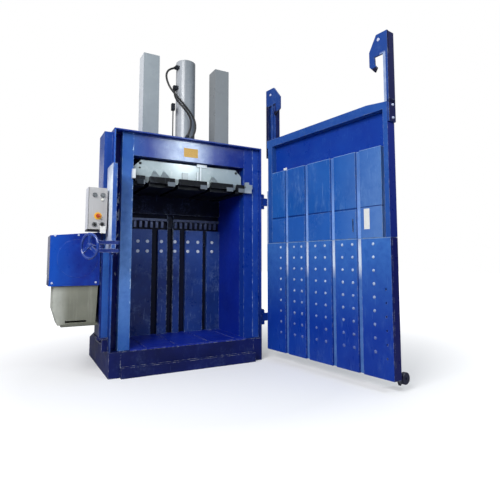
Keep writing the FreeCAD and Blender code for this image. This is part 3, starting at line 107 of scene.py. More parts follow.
class Graph:
    """Short hand for a material's node tree."""

    def __init__(self, name):
        self.material = bpy.data.materials.new(name)
        self.material.use_nodes = True
        self.tree = self.material.node_tree
        self.tree.nodes.clear()
        self.output = self.tree.nodes.new("ShaderNodeOutputMaterial")

    def add(self, kind, **settings):
        node = self.tree.nodes.new(kind)
        for key, value in settings.items():
            setattr(node, key, value)
        return node

    def link(self, source, target):
        self.tree.links.new(source, target)

    def coords(self, stretch=(1, 1, 1)):
        place = self.add("ShaderNodeTexCoord")
        mapping = self.add("ShaderNodeMapping")
        mapping.inputs["Scale"].default_value = stretch
        self.link(place.outputs["Object"], mapping.inputs["Vector"])
        return mapping.outputs["Vector"]

    def noise(self, scale, detail=5.0, rough=0.6, stretch=(1, 1, 1)):
        node = self.add("ShaderNodeTexNoise")
        node.inputs["Scale"].default_value = scale
        node.inputs["Detail"].default_value = detail
        node.inputs["Roughness"].default_value = rough
        self.link(self.coords(stretch), node.inputs["Vector"])
        return node.outputs["Fac"]

    def ramp(self, source, low, high, start=0.0, end=1.0):
        """Maps source from low..high to start..end, clamped."""
        node = self.add("ShaderNodeMapRange", clamp=True)
        node.inputs["From Min"].default_value = low
        node.inputs["From Max"].default_value = high
        node.inputs["To Min"].default_value = start
        node.inputs["To Max"].default_value = end
        self.link(source, node.inputs["Value"])
        return node.outputs["Result"]

    def math(self, operation, first, second):
        node = self.add("ShaderNodeMath", operation=operation, use_clamp=True)
        for index, item in enumerate((first, second)):
            if isinstance(item, (int, float)):
                node.inputs[index].default_value = item
            else:
                self.link(item, node.inputs[index])
        return node.outputs["Value"]

    def mix(self, factor, first, second):
        node = self.add("ShaderNodeMix", data_type="RGBA")
        if isinstance(factor, (int, float)):
            node.inputs["Factor"].default_value = factor
        else:
            self.link(factor, node.inputs["Factor"])
        for socket, item in ((6, first), (7, second)):
            if isinstance(item, tuple):
                node.inputs[socket].default_value = item
            else:
                self.link(item, node.inputs[socket])
        return node.outputs[2]

    def along(self, direction, low, high, start=0.0, end=1.0):
        """Maps the distance along a direction, at rest, from low..high to start..end."""
        dot = self.add("ShaderNodeVectorMath", operation="DOT_PRODUCT")
        self.link(self.coords(), dot.inputs[0])
        dot.inputs[1].default_value = direction
        return self.ramp(dot.outputs["Value"], low, high, start, end)

    def edges(self, radius):
        """1 along convex and concave edges, 0 on flats."""
        bevel = self.add("ShaderNodeBevel", samples=4)
        bevel.inputs["Radius"].default_value = radius
        geometry = self.add("ShaderNodeNewGeometry")
        dot = self.add("ShaderNodeVectorMath", operation="DOT_PRODUCT")
        self.link(bevel.outputs["Normal"], dot.inputs[0])
        self.link(geometry.outputs["Normal"], dot.inputs[1])
        return self.ramp(dot.outputs["Value"], 0.995, 0.9)

    def tinted(self, body, item, pattern):
        """Body with an accent laid over it, broken up by a pattern."""
        mask = self.math("MULTIPLY", self.along(*item["place"]), pattern)
        for fade in item["fades"]:
            mask = self.math("MULTIPLY", mask, self.along(*fade))
        return self.mix(self.math("MULTIPLY", mask, item["strength"]), body,
                        linear(item["tint"]))

    def bump(self, height, strength, distance):
        node = self.add("ShaderNodeBump")
        node.inputs["Strength"].default_value = strength
        node.inputs["Distance"].default_value = distance
        self.link(height, node.inputs["Height"])
        return node.outputs["Normal"]

    def finish(self, color, rough, metallic=0.0, normal=None, coat=0.0, coat_rough=0.1,
               shine=0.5):
        shader = self.add("ShaderNodeBsdfPrincipled")
        for name, item in (("Base Color", color), ("Roughness", rough),
                           ("Metallic", metallic)):
            if isinstance(item, (int, float, tuple)):
                shader.inputs[name].default_value = item
            else:
                self.link(item, shader.inputs[name])
        shader.inputs["Specular IOR Level"].default_value = shine
        shader.inputs["Coat Weight"].default_value = coat
        shader.inputs["Coat Roughness"].default_value = coat_rough
        if normal is not None:
            self.link(normal, shader.inputs["Normal"])
        self.link(shader.outputs["BSDF"], self.output.inputs["Surface"])
        return self.material


def accent(direction, low, high, tint, strength=0.85, fades=()):
    """A stretch of another colour: where the distance along direction passes low to high.

    Each fade is (direction, low, high), or that with the two values it runs between.
    """
    return {"place": (direction, low, high), "tint": tint, "strength": strength,
            "fades": fades}


def door_accent(direction, low, high, tint, strength, fades=()):
    """An accent whose places are those of the closed door."""
    return accent(*on_open_door(direction, low, high), tint, strength,
                  [on_open_door(*fade) for fade in fades])


def enamel(name, color, deep, pale, rough=0.3, wear_and_sheen=0.5, scuff=0.35, run=(1, 1, 1),
           bare=(150, 160, 175), coat=0.04, low_shade=None, accents=(), shine=0.2, edge_highlight=0.0,
           flakes=None):
    """Sprayed enamel: cloudy colour, rubbed patches, fine scratches, chipped edges.

    low_shade is (low, high, colour): painted shade, a colour over the lower part that fades
    out with height. Accents are stretches of another colour, some of them real paint and
    some painted highlights and shade; edge_highlight is how pale the edges are all along,
    a painted highlight, and flakes is an accent that shows only as scattered chips.
    """
    graph = Graph(name)
    cloud = graph.ramp(graph.noise(1.7, 4.0), 0.35, 0.7)
    fine = graph.ramp(graph.noise(38.0, 6.0, 0.7, run), 0.42, 0.72)
    body = graph.mix(cloud, linear(deep), linear(color))
    rubbed = graph.math("MULTIPLY", graph.ramp(graph.noise(5.5, 6.0, 0.7, run), 0.5, 0.72),
                        scuff)
    body = graph.mix(graph.math("MULTIPLY", rubbed, fine), body, linear(pale))
    scratch = graph.ramp(graph.noise(90.0, 2.0, 0.5, (1, 1, 0.06)), 0.69, 0.74)
    scratch = graph.math("MULTIPLY", scratch, scuff * 0.6)
    body = graph.mix(scratch, body, linear(pale))
    patchy = graph.ramp(graph.noise(16.0, 4.0), 0.25, 0.6, 0.6, 1.0)
    for item in accents:
        body = graph.tinted(body, item, patchy)
    # Painted shade: a colour laid over the lower part, fading out with height.
    if low_shade:
        low, high, tint = low_shade
        painted_shade = graph.math("MULTIPLY", graph.along(UP, low, high, 0.85, 0.0),
                          graph.ramp(graph.noise(4.0, 5.0), 0.2, 0.55, 0.6, 1.0))
        body = graph.mix(painted_shade, body, linear(tint))
    edges = graph.edges(0.006)
    # Pale edges all along: a painted highlight.
    if edge_highlight:
        body = graph.mix(graph.math("MULTIPLY", edges, edge_highlight), body, linear(pale))
    # Chipped edges in the bare colour: real wear, and on the latch arm and the ejector guide
    # also a painted highlight.
    chips = graph.math("MULTIPLY", edges, graph.ramp(graph.noise(23.0, 5.0, 0.7), 0.46, 0.6))
    body = graph.mix(graph.math("MULTIPLY", chips, wear_and_sheen), body, linear(bare))
    if flakes:
        scattered = graph.ramp(graph.noise(34.0, 4.0, 0.6, (1, 1, 0.4)), 0.56, 0.6)
        body = graph.tinted(body, flakes, scattered)
    gloss = graph.ramp(graph.noise(7.0, 5.0, 0.7, run), 0.3, 0.75, rough - 0.06, rough + 0.12)
    normal = graph.bump(graph.noise(60.0, 3.0), 0.08, 0.0006)
    return graph.finish(body, gloss, 0.0, normal, coat, 0.16, shine)


def steel(name, color, dark, rough=0.35, metallic=1.0, run=(1, 1, 18), stain=(70, 60, 52),
          stains=0.15):
    """Bare or rubbed metal with a drawn grain and a little staining."""
    graph = Graph(name)
    grain = graph.noise(24.0, 5.0, 0.7, run)
    body = graph.mix(graph.ramp(grain, 0.3, 0.7), linear(dark), linear(color))
    spots = graph.math("MULTIPLY", graph.ramp(graph.noise(6.0, 7.0, 0.7), 0.55, 0.72), stains)
    body = graph.mix(spots, body, linear(stain))
    gloss = graph.ramp(grain, 0.3, 0.7, rough - 0.08, rough + 0.12)
    normal = graph.bump(grain, 0.1, 0.0004)
    return graph.finish(body, gloss, metallic, normal)


def plastic(name, color, rough=0.35, speckle=0.08):
    """Moulded plastic or rubber with a fine, faintly speckled grain."""
    graph = Graph(name)
    grain = graph.noise(160.0, 3.0)
    darker = tuple(part * (1 - speckle) for part in color)
    body = graph.mix(graph.ramp(grain, 0.35, 0.65), linear(darker), linear(color))
    gloss = graph.ramp(graph.noise(12.0), 0.3, 0.7, rough - 0.05, rough + 0.1)
    return graph.finish(body, gloss, 0.0, graph.bump(grain, 0.12, 0.0003))


# -------------------------------------------------------------------------------- finishes

# Colours are as on screen, 0 to 255.

# The strength at which an accent covers fully, even where the patchy pattern, which runs
# from 0.6 to 1, is thinnest.
SOLID = 1.8

# Head, front beam and posts.
# Painted highlight on the left post and the left end of the beam.
LEFT_POST_HIGHLIGHT = accent(LEFT, 0.42, 0.62, (42, 90, 162), 1.0)
# Painted highlight on the lower left post, fading out at its top and bottom.
LOW_POST_HIGHLIGHT = accent(LEFT, 0.5, 0.56, (110, 154, 222), 0.9,
                  [(DOWN, -1.95, -1.2), (UP, 0.3, 1.05, 0.1, 1.0)])
# Painted shade on the right post.
RIGHT_POST_SHADE = accent(RIGHT, 0.5, 0.56, (12, 48, 138), 1.0, [(LEFT, -0.677, -0.672)])
POST_CHIPS = accent(RIGHT, -0.59, -0.582, (176, 206, 236), 1.2, [(LEFT, 0.56, 0.565)])
BEAM_GLARE = accent(RIGHT, -0.45, -0.12, (186, 206, 234), 0.5, [(LEFT, -0.24, -0.06)])
BEAM_SHADE = accent(RIGHT, 0.24, 0.42, (4, 34, 124), 0.7)

BLUE = enamel("blue_enamel", (18, 58, 150), (12, 44, 130), (92, 130, 190))
BEAM_BLUE = enamel("beam_enamel", (20, 52, 146), (14, 44, 134), (120, 156, 206), wear_and_sheen=0.9,
                   rough=0.2, shine=0.45, accents=[LEFT_POST_HIGHLIGHT, BEAM_GLARE, BEAM_SHADE])
POST_BLUE = enamel("post_enamel", (28, 68, 162), (20, 58, 150), (120, 156, 206), wear_and_sheen=1.0,
                   rough=0.3, bare=(176, 206, 236), accents=[LEFT_POST_HIGHLIGHT, LOW_POST_HIGHLIGHT, RIGHT_POST_SHADE],
                   flakes=POST_CHIPS)

# Sides and base.
# Painted highlight on the front face of the left side plate.
SIDE_EDGE_HIGHLIGHT = accent(FRONT, -0.0015, -0.0005, (44, 92, 182), 1.2, [(LEFT, 0.7, 0.74)])
WEB_CHIPS = accent(RIGHT, -0.705, -0.70, (226, 234, 246), SOLID,
                   [(LEFT, 0.66, 0.665), (UP, 0.5, 1.4), (DOWN, -1.8, -1.72)])
# Painted highlight on the lower part of the side column.
COLUMN_LOW_HIGHLIGHT = accent(DOWN, -1.3, -1.15, (56, 108, 190), 0.9, [(UP, 0.3, 0.95, 0.35, 1.0)])
# Painted shadow on the left strip of the side column, below the power pack.
COLUMN_EDGE_SHADOW = accent(LEFT, 0.812, 0.816, (16, 34, 104), 1.2, [(DOWN, -1.28, -1.26)])
# Painted highlight on the left face of the latch rail, fading out at its top and bottom.
RAIL_SIDE_GLARE = accent(LEFT, 0.7985, 0.7995, (232, 240, 250), SOLID,
                   [(UP, 1.06, 1.25, 0.35, 1.0), (DOWN, -1.84, -1.5, 0.3, 1.0)])
BACK_SKIN = accent(BACK, 0.7088, 0.7096, (18, 54, 144), SOLID)

# The side plates darken towards the floor as painted shade.
SIDE_BLUE = enamel("side_enamel", (24, 60, 152), (16, 46, 130), (90, 124, 186), wear_and_sheen=0.6,
                   low_shade=(0.2, 0.8, (10, 20, 66)), accents=[SIDE_EDGE_HIGHLIGHT])
WEB_BLUE = enamel("web_enamel", (8, 30, 140), (5, 20, 108), (40, 64, 140), wear_and_sheen=0.8, scuff=0.2,
                  bare=(200, 212, 232), flakes=WEB_CHIPS)
COLUMN_BLUE = enamel("column_blue", (34, 74, 156), (26, 62, 142), (120, 150, 200), wear_and_sheen=0.8,
                     accents=[COLUMN_LOW_HIGHLIGHT, COLUMN_EDGE_SHADOW])
# The latch rail's lower part is darkened to plain blue as painted shade, fading out with height.
RAIL_BLUE = enamel("rail_enamel", (62, 98, 172), (44, 80, 156), (190, 206, 232), wear_and_sheen=1.0,
                   scuff=0.8, bare=(206, 216, 234), accents=[RAIL_SIDE_GLARE],
                   low_shade=(0.9, 1.35, (58, 92, 168)))
# The back wall is near black as painted shade; its outer face keeps the blue paint.
BACK_SHADED = enamel("back_enamel", (5, 12, 46), (3, 7, 28), (40, 56, 100), scuff=0.3,
                   rough=0.5, wear_and_sheen=0.4, accents=[BACK_SKIN])
BASE_BLUE = enamel("base_enamel", (14, 28, 102), (8, 17, 66), (78, 96, 146), wear_and_sheen=1.0,
                   scuff=0.5, rough=0.55, bare=(190, 194, 198))

# Latch.
WHEEL_BLUE = enamel("wheel_enamel", (22, 62, 150), (14, 46, 130), (120, 150, 206), rough=0.14,
                    wear_and_sheen=1.0, coat=0.6, shine=0.5, bare=(196, 206, 228))
# The latch arm's pale edges all along and its pale chips are painted highlights.
LATCH_BLUE = enamel("latch_enamel", (52, 74, 146), (26, 44, 116), (154, 166, 216), wear_and_sheen=1.0,
                    rough=0.22, shine=0.5, edge_highlight=0.8, bare=(176, 182, 220))

# Inside of the chamber.
# Painted light on the upper part of the rear panels, which are left darker below.
REAR_HIGHLIGHT = accent(UP, 0.85, 1.15, (64, 98, 178), 0.6)
REAR_STUDS = accent(FRONT, -0.6592, -0.6582, (240, 246, 252), SOLID)
CLAW_SHADE = accent(RIGHT, -0.3, 0.35, (34, 46, 84), 0.8)

INNER_BLUE = enamel("inner_enamel", (14, 44, 158), (10, 32, 132), (50, 90, 176), scuff=0.3,
                    rough=0.42, wear_and_sheen=0.7)
REAR_BLUE = enamel("rear_enamel", (30, 64, 140), (14, 36, 98), (140, 168, 212), scuff=0.8,
                   rough=0.3, wear_and_sheen=1.0, shine=0.4, bare=(170, 190, 224),
                   accents=[REAR_HIGHLIGHT, REAR_STUDS])
# Near black as painted shade on the upper back and the ejector guide, with pale edges and chips
# as painted highlights.
SHADED_BLUE = enamel("shaded_enamel", (8, 14, 46), (4, 8, 30), (104, 124, 170), scuff=0.5,
                   rough=0.4, wear_and_sheen=1.0, edge_highlight=0.35, bare=(190, 204, 228))
# The claws' pale blue-grey is a painted highlight.
CLAW_BLUE = enamel("claw_enamel", (138, 150, 186), (84, 98, 142), (190, 200, 222), scuff=0.8,
                   rough=0.3, shine=0.4, wear_and_sheen=0.6, accents=[CLAW_SHADE])
STUD_WHITE = enamel("stud_enamel", (238, 244, 252), (226, 234, 246), (255, 255, 255), wear_and_sheen=0.2,
                    scuff=0.2, shine=0.6, rough=0.2)

# Platen, guide columns and cylinder.
# Painted shade on the gussets' faces in front of the plate.
GUSSET_SHADE = accent(FRONT, -0.078, -0.070, (112, 122, 126), 1.0)
SQUARE = accent(LEFT, 0.029, 0.030, (132, 142, 146), 1.2,
                [(RIGHT, -0.0935, -0.0925), (UP, 1.803, 1.804), (FRONT, -0.0885, -0.088),
                 (DOWN, -1.873, -1.872)])
T_BRACKET = accent(RIGHT, 0.0608, 0.0614, (208, 216, 220), 1.3,
                   [(LEFT, -0.169, -0.1685), (FRONT, -0.0815, -0.0805)])
# Painted shade on the right shoe.
RIGHT_SHOE_SHADE = accent(RIGHT, 0.5, 0.56, (142, 154, 164), 1.1)
NOSES = accent(FRONT, -0.0075, -0.0065, (104, 112, 120), SOLID)
LEFT_NOSE = accent(FRONT, -0.0075, -0.0065, (26, 34, 44), SOLID, [(LEFT, 0.485, 0.495)])
# Painted shade on the right guide column.
RIGHT_COLUMN_SHADE = accent(RIGHT, 0.2, 0.3, (130, 135, 139), 1.2)
# Painted highlight on the left face of the left guide column.
COLUMN_SIDE_HIGHLIGHT = accent(LEFT, 0.4632, 0.4638, (208, 213, 219), 1.2)
BARREL_TOP = accent(UP, 2.5, 3.0, (112, 118, 124), 0.55)
# Painted highlight on the left of the barrel.
BARREL_HIGHLIGHT = accent(LEFT, 0.03, 0.095, (172, 176, 182), 1.0)
BARREL_SHADE = accent(RIGHT, 0.03, 0.095, (102, 111, 118), 1.2)

PLATEN_GREY = enamel("platen_enamel", (168, 183, 187), (150, 165, 171), (222, 230, 232),
                     bare=(90, 94, 98), wear_and_sheen=0.6, scuff=0.5, shine=0.6, coat=0.5, rough=0.2,
                     accents=[GUSSET_SHADE, SQUARE, T_BRACKET])
SHOE_WHITE = enamel("shoe_enamel", (228, 232, 234), (196, 202, 208), (244, 246, 246),
                    bare=(90, 94, 98), wear_and_sheen=0.5, scuff=0.6, accents=[RIGHT_SHOE_SHADE])
PAD_STEEL = enamel("pad_enamel", (22, 24, 30), (9, 10, 14), (70, 76, 84), scuff=0.6,
                   rough=0.45, wear_and_sheen=0.6, shine=0.15, coat=0.0, bare=(120, 126, 134),
                   accents=[NOSES, LEFT_NOSE])
COLUMN_GREY = enamel("column_enamel", (150, 158, 164), (136, 144, 150), (190, 196, 202),
                     bare=(110, 114, 118), wear_and_sheen=0.3, scuff=0.2,
                     accents=[RIGHT_COLUMN_SHADE, COLUMN_SIDE_HIGHLIGHT])
BARREL_GREY = enamel("barrel_enamel", (150, 157, 164), (136, 143, 150), (190, 196, 202),
                     bare=(90, 94, 98), wear_and_sheen=0.3, scuff=0.2, rough=0.25, shine=0.5,
                     accents=[BARREL_TOP, BARREL_HIGHLIGHT, BARREL_SHADE])

# Lower door: its strips, and the panel behind them, which is the floor of the grooves.
DOOR_GLARE = accent(UP, 0.45, 1.15, (62, 114, 190), 0.9)
# Painted highlight along the top edge of the lower door.
DOOR_TOP_HIGHLIGHT = accent(UP, 1.186, 1.1895, (150, 184, 224), 0.9)
# Painted glints on the door's studs, fading out towards the bottom.
DOOR_STUD_GLINTS = door_accent(BACK, -0.0042, -0.0030, (196, 212, 234), 1.0,
                         [(UP, 0.35, 1.0, 0.2, 1.0)])
# Painted shade on the free end face of the door.
DOOR_END_SHADE = door_accent(LEFT, 0.7585, 0.7595, (0, 11, 90), SOLID)
# Painted highlight on the floors of the grooves.
GROOVE_SHEEN = door_accent(BACK, -0.0270, -0.0255, (92, 134, 196), 0.8)
GROOVE_GLARE = door_accent(BACK, -0.0270, -0.0255, (214, 226, 240), 1.3,
                           [(UP, 0.85, 1.0), (DOWN, -1.2, -1.06, 0.45, 1.0)])

DOOR_BLUE = enamel("door_enamel", (20, 62, 162), (12, 48, 146), (110, 150, 206), scuff=0.4,
                   wear_and_sheen=0.9, run=(1, 1, 0.35),
                   accents=[DOOR_GLARE, DOOR_STUD_GLINTS, DOOR_TOP_HIGHLIGHT, DOOR_END_SHADE])
PANEL_BLUE = enamel("panel_enamel_blue", (22, 60, 154), (14, 46, 134), (110, 142, 196),
                    scuff=0.5, wear_and_sheen=0.8, accents=[GROOVE_SHEEN, GROOVE_GLARE, DOOR_END_SHADE])
FOOT_BLUE = enamel("foot_enamel", (10, 16, 44), (5, 9, 28), (90, 100, 130), wear_and_sheen=0.9,
                   rough=0.3, shine=0.4)

# Gate: frame, sheet, liners, and strips with painted highlights on their sides near the sheet
# and foot.
# Painted shade on the free end face of the gate.
GATE_END_SHADE = door_accent(LEFT, 0.7585, 0.7595, (5, 32, 122), SOLID)
GATE_GLARE = door_accent(LEFT, 0.2, 0.66, (104, 142, 198), 0.6,
                         [(DOWN, -1.95, -1.5, 0.65, 1.0)])
# Painted highlight along the strips' top edges.
STRIP_TOP_HIGHLIGHT = accent(UP, 1.925, 1.929, (150, 184, 224), 0.9)
# Painted highlights on the strips' sides near the sheet, brighter at the foot.
STRIP_SIDE_HIGHLIGHT = door_accent(FRONT, 0.0220, 0.0245, (84, 124, 190), 0.8)
STRIP_FOOT_HIGHLIGHT = door_accent(FRONT, 0.0220, 0.0245, (140, 178, 240), 0.8, [(DOWN, -1.75, -1.4)])
# Painted shadow in a thin line above the liners.
LINER_SHADOW_LINE = accent(UP, 1.440, 1.442, (8, 34, 104), 0.9, [(DOWN, -1.456, -1.453)])

# The frame, strips and liners have pale edges all along as painted highlights.
GATE_BLUE = enamel("gate_enamel", (44, 90, 168), (30, 72, 150), (128, 168, 214), wear_and_sheen=0.8,
                   scuff=0.3, edge_highlight=0.15, accents=[GATE_END_SHADE])
SHEET_BLUE = enamel("sheet_enamel", (14, 64, 160), (8, 50, 146), (66, 118, 194), wear_and_sheen=0.4,
                    scuff=0.35)
STRIP_BLUE = enamel("groove_enamel", (38, 98, 178), (24, 80, 162), (128, 168, 214),
                    scuff=0.7, wear_and_sheen=0.9, run=(1, 1, 0.35), edge_highlight=0.3,
                    accents=[GATE_GLARE, LINER_SHADOW_LINE, STRIP_SIDE_HIGHLIGHT, STRIP_FOOT_HIGHLIGHT, STRIP_TOP_HIGHLIGHT])
LINER_BLUE = enamel("liner_enamel", (44, 98, 180), (34, 86, 170), (120, 160, 210), scuff=0.4,
                    wear_and_sheen=0.6, edge_highlight=0.35, accents=[GATE_GLARE])

# Lifting arms: painted shade on the band and side of the one at the hinge, a painted
# highlight on the lit flange of the other and painted shade on its end, and on both hooks' toes.
ARM_BAND_SHADE = door_accent(RIGHT, 0.730, 0.734, (10, 18, 62), 1.2, [(DOWN, -2.685, -2.68)])
ARM_SIDE_SHADE = door_accent(LEFT, -0.6522, -0.6514, (16, 28, 88), 1.1,
                       [(DOWN, -2.685, -2.68), (RIGHT, 0.6, 0.62)])
ARM_GLARE = door_accent(RIGHT, -0.757, -0.755, (150, 168, 204), 1.0,
                        [(LEFT, 0.70, 0.702), (DOWN, -2.70, -2.68), (BACK, -0.010, -0.009)])
ARM_END_SHADE = door_accent(LEFT, 0.7745, 0.7755, (4, 14, 72), SOLID)
TOE_SHADE = door_accent(DOWN, -2.598, -2.585, (12, 16, 46), 1.2,
                        [(RIGHT, -0.705, -0.70), (LEFT, -0.645, -0.640)])

ARM_BLUE = enamel("arm_enamel", (32, 72, 148), (22, 56, 130), (120, 152, 200), wear_and_sheen=0.6,
                  scuff=0.3, accents=[ARM_BAND_SHADE, ARM_SIDE_SHADE, ARM_GLARE, ARM_END_SHADE, TOE_SHADE])

# Power pack and control box.
COVER_SHADE = accent(RIGHT, -1.2, -1.02, (22, 44, 136), 1.0)
# Painted shade on the left face of the cover.
COVER_EDGE_SHADE = accent(LEFT, 1.2405, 1.2415, (12, 34, 92), SOLID)
# Painted highlight on the left of the tank.
TANK_HIGHLIGHT = accent(LEFT, 1.08, 1.19, (184, 186, 178), 1.0)
# Painted shadow on the tank's top, under the cover.
TANK_TOP_SHADOW = accent(UP, 0.745, 0.795, (92, 92, 82), 0.8)
# Painted highlight on the left face of the control box.
BOX_SIDE_HIGHLIGHT = accent(LEFT, 0.9712, 0.9717, (206, 208, 216), SOLID)
BOX_COLLAR = accent(FRONT, 0.0605, 0.0615, (232, 176, 60), SOLID)
BOX_SILL = accent(DOWN, -1.2765, -1.2755, (22, 22, 26), SOLID)

CABINET_BLUE = enamel("cabinet_enamel", (24, 84, 184), (18, 70, 170), (90, 140, 206),
                      wear_and_sheen=0.3, scuff=0.2, accents=[COVER_SHADE, COVER_EDGE_SHADE])
TANK_GREY = enamel("tank_enamel", (142, 143, 130), (112, 113, 102), (176, 176, 166),
                   bare=(70, 68, 62), wear_and_sheen=0.8, scuff=0.8, rough=0.5, run=(3, 3, 0.12),
                   accents=[TANK_HIGHLIGHT, TANK_TOP_SHADOW])
LIP_GREY = enamel("lip_enamel", (120, 121, 110), (96, 97, 88), (160, 160, 150), rough=0.5,
                  bare=(70, 68, 62))
PANEL_GREY = enamel("panel_enamel", (182, 182, 184), (162, 160, 160), (214, 212, 208),
                    wear_and_sheen=0.2, scuff=0.3, rough=0.4,
                    accents=[BOX_SIDE_HIGHLIGHT, BOX_COLLAR, BOX_SILL])

# Metal, rubber and plastic.
BRIGHT_STEEL = steel("bright_steel", (190, 194, 198), (150, 154, 160), rough=0.3)
DARK_STEEL = steel("dark_steel", (58, 60, 66), (34, 36, 42), rough=0.5, run=(1, 1, 1))
CHROME = steel("chrome_rod", (214, 216, 220), (200, 204, 208), rough=0.14, stains=0.02)
RUBBER = plastic("hose_rubber", (22, 22, 24), rough=0.5)
BLACK = plastic("black_plastic", (20, 20, 22), rough=0.4)
ROLLER_NAVY = plastic("roller_navy", (8, 13, 52), rough=0.35)
RED = plastic("red_plastic", (176, 60, 20), rough=0.3)
LAMP = plastic("lamp_plastic", (226, 226, 216), rough=0.2)
WHITE = plastic("white_plate", (236, 236, 232), rough=0.45)
PALE_BOLT = plastic("pale_bolt", (196, 204, 232), rough=0.35)
SIGN = plastic("blank_sign", (206, 160, 62), rough=0.4)

PAINT = {
    BLUE: ["top_plate", "head_crossbeams", "hinge_brackets", "hinge_leaves"],
    WHEEL_BLUE: ["hand_wheel"],
    LATCH_BLUE: ["latch_arm"],
    BEAM_BLUE: ["front_beam"],
    POST_BLUE: ["front_post_left", "front_post_right"],
    COLUMN_BLUE: ["side_column"],
    RAIL_BLUE: ["latch_rail"],
    SIDE_BLUE: ["side_plate_left", "side_plate_right", "pack_bracket"],
    WEB_BLUE: ["channel_webs"],
    INNER_BLUE: ["chamber_walls", "chamber_floor"],
    REAR_BLUE: ["back_panels"],
    BACK_SHADED: ["back_wall"],
    SHADED_BLUE: ["back_panel_upper", "ejector_guide"],
    CLAW_BLUE: ["retaining_claws"],
    GATE_BLUE: ["gate_frame"],
    SHEET_BLUE: ["gate_sheet"],
    DOOR_BLUE: ["door_strips"],
    STRIP_BLUE: ["gate_strips"],
    PANEL_BLUE: ["door_panel"],
    BASE_BLUE: ["base_rail_left", "base_rail_right", "base_crossbeams", "column_foot"],
    FOOT_BLUE: ["roller_bracket"],
    CABINET_BLUE: ["pack_cover"],
    PLATEN_GREY: ["platen_fascia", "platen_crosshead"],
    COLUMN_GREY: ["guide_column_left", "guide_column_right"],
    BARREL_GREY: ["cylinder_barrel"],
    TANK_GREY: ["oil_tank", "pump_motor"],
    PANEL_GREY: ["control_box"],
    PAD_STEEL: ["platen_pads", "platen_plate"],
    SHOE_WHITE: ["platen_shoes"],
    BRIGHT_STEEL: ["hinge_pins", "selector_left", "selector_right"],
    DARK_STEEL: ["hose_fittings", "limit_switch", "gate_guide_rails"],
    CHROME: ["piston_rod"],
    BLACK: ["button_up", "button_down"],
    ROLLER_NAVY: ["door_roller"],
    RED: ["emergency_stop"],
    LAMP: ["signal_lamp"],
    RUBBER: ["supply_hose", "return_hose"],
}

for material, names in PAINT.items():
    for name in names:
        obj = NODES[name]
        obj.data.materials.clear()
        obj.data.materials.append(material)


# ----------------------------------------------------------------------------- mesh tools

def make_piece(name, builder, material, body):
    """A new mesh piece that rides on a body."""
    mesh = bpy.data.meshes.new(name)
    shape = bmesh.new()
    builder(shape)
    bmesh.ops.recalc_face_normals(shape, faces=shape.faces)
    shape.to_mesh(mesh)
    shape.free()
    obj = bpy.data.objects.new(name, mesh)
    scene.collection.objects.link(obj)
    obj.data.materials.append(material)
    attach(obj, body)
    return obj


def soften(obj, width=0.0015):
    """Rounds the sharp edges of a piece."""
    bevel = obj.modifiers.new("soft_edges", "BEVEL")
    bevel.width = width
    bevel.segments = 2
    bevel.limit_method = "ANGLE"
    bevel.angle_limit = math.radians(40)


def placed(place, turn):
    """A place as a vector, turned where there is a turn."""
    return turn @ Vector(place) if turn is not None else Vector(place)


def add_box(shape, low, high, turn=None):
    """Adds a block between two corners."""
    made = bmesh.ops.create_cube(shape, size=1.0)
    size = [high[i] - low[i] for i in range(3)]
    middle = [(high[i] + low[i]) / 2 for i in range(3)]
    bmesh.ops.scale(shape, vec=size, verts=made["verts"])
    bmesh.ops.translate(shape, vec=middle, verts=made["verts"])
    if turn is not None:
        bmesh.ops.transform(shape, matrix=turn, verts=made["verts"])


def plate(name, low, high, material, body, round_off=0.0015, turn=None):
    """A flat piece with rounded edges."""
    def build(shape):
        add_box(shape, low, high, turn)
        bmesh.ops.bevel(shape, geom=shape.edges[:], offset=round_off, segments=2,
                        affect="EDGES", profile=0.6)

    make_piece(name, build, material, body)


def join_loops(shape, loops):
    """Adds the faces between each loop of vertices and the next."""
    count = len(loops[0])
    for near, far in zip(loops, loops[1:]):
        for step in range(count):
            after = (step + 1) % count
            shape.faces.new((near[step], near[after], far[after], far[step]))


def prism(shape, outline, start, stop, axes=(0, 2, 1), turn=None):
    """Adds an outline in the plane of the first two axes, drawn out along the third."""
    def corner(point, along):
        place = [0.0, 0.0, 0.0]
        for axis, part in zip(axes, (point[0], point[1], along)):
            place[axis] = part
        return placed(place, turn)

    rings = [[shape.verts.new(corner(point, along)) for point in outline]
             for along in (start, stop)]
    shape.faces.new(rings[0])
    shape.faces.new(reversed(rings[1]))
    join_loops(shape, rings)


def round_loop(shape, centre, radius, along, axis, turn, sides):
    """Adds a circle of vertices about an axis."""
    across = [index for index in range(3) if index != axis]
    loop = []
    for step in range(sides):
        angle = 2 * math.pi * step / sides
        place = list(centre)
        place[across[0]] += radius * math.cos(angle)
        place[across[1]] += radius * math.sin(angle)
        place[axis] = along
        loop.append(shape.verts.new(placed(place, turn)))
    return loop


def disc(shape, centre, radius, start, stop, axis=1, turn=None, sides=24, cap=0.25):
    """Adds a round head along an axis, its far rim chamfered."""
    profile = ((radius, start), (radius, stop - (stop - start) * cap),
               (radius * (1 - cap * 0.6), stop))
    loops = [round_loop(shape, centre, size, along, axis, turn, sides)
             for size, along in profile]
    shape.faces.new(loops[0])
    shape.faces.new(reversed(loops[-1]))
    join_loops(shape, loops)


# --------------------------------------------------------------------- head and chamber

plate("beam_sign", (-0.089, 0.0485, 2.024), (0.057, 0.0505, 2.113), SIGN, "frame", 0.0006)

# The channel beside the right post is closed by a flat strip.
plate("channel_strip_right", (0.6775, 0.046, 0.222), (0.7475, 0.05, 2.186), POST_BLUE, "frame")

# Bolts near the corners of the tall front plate: x, z and radius.
FASCIA_BOLTS = [(-0.505, 1.924, 0.013), (0.5, 1.924, 0.013), (-0.507, 1.88, 0.008)]
FASCIA_FACE = 0.09


def fascia_bolts(shape):
    for x, z, radius in FASCIA_BOLTS:
        disc(shape, (x, 0, z), radius, FASCIA_FACE + 0.001, FASCIA_FACE - 0.006)


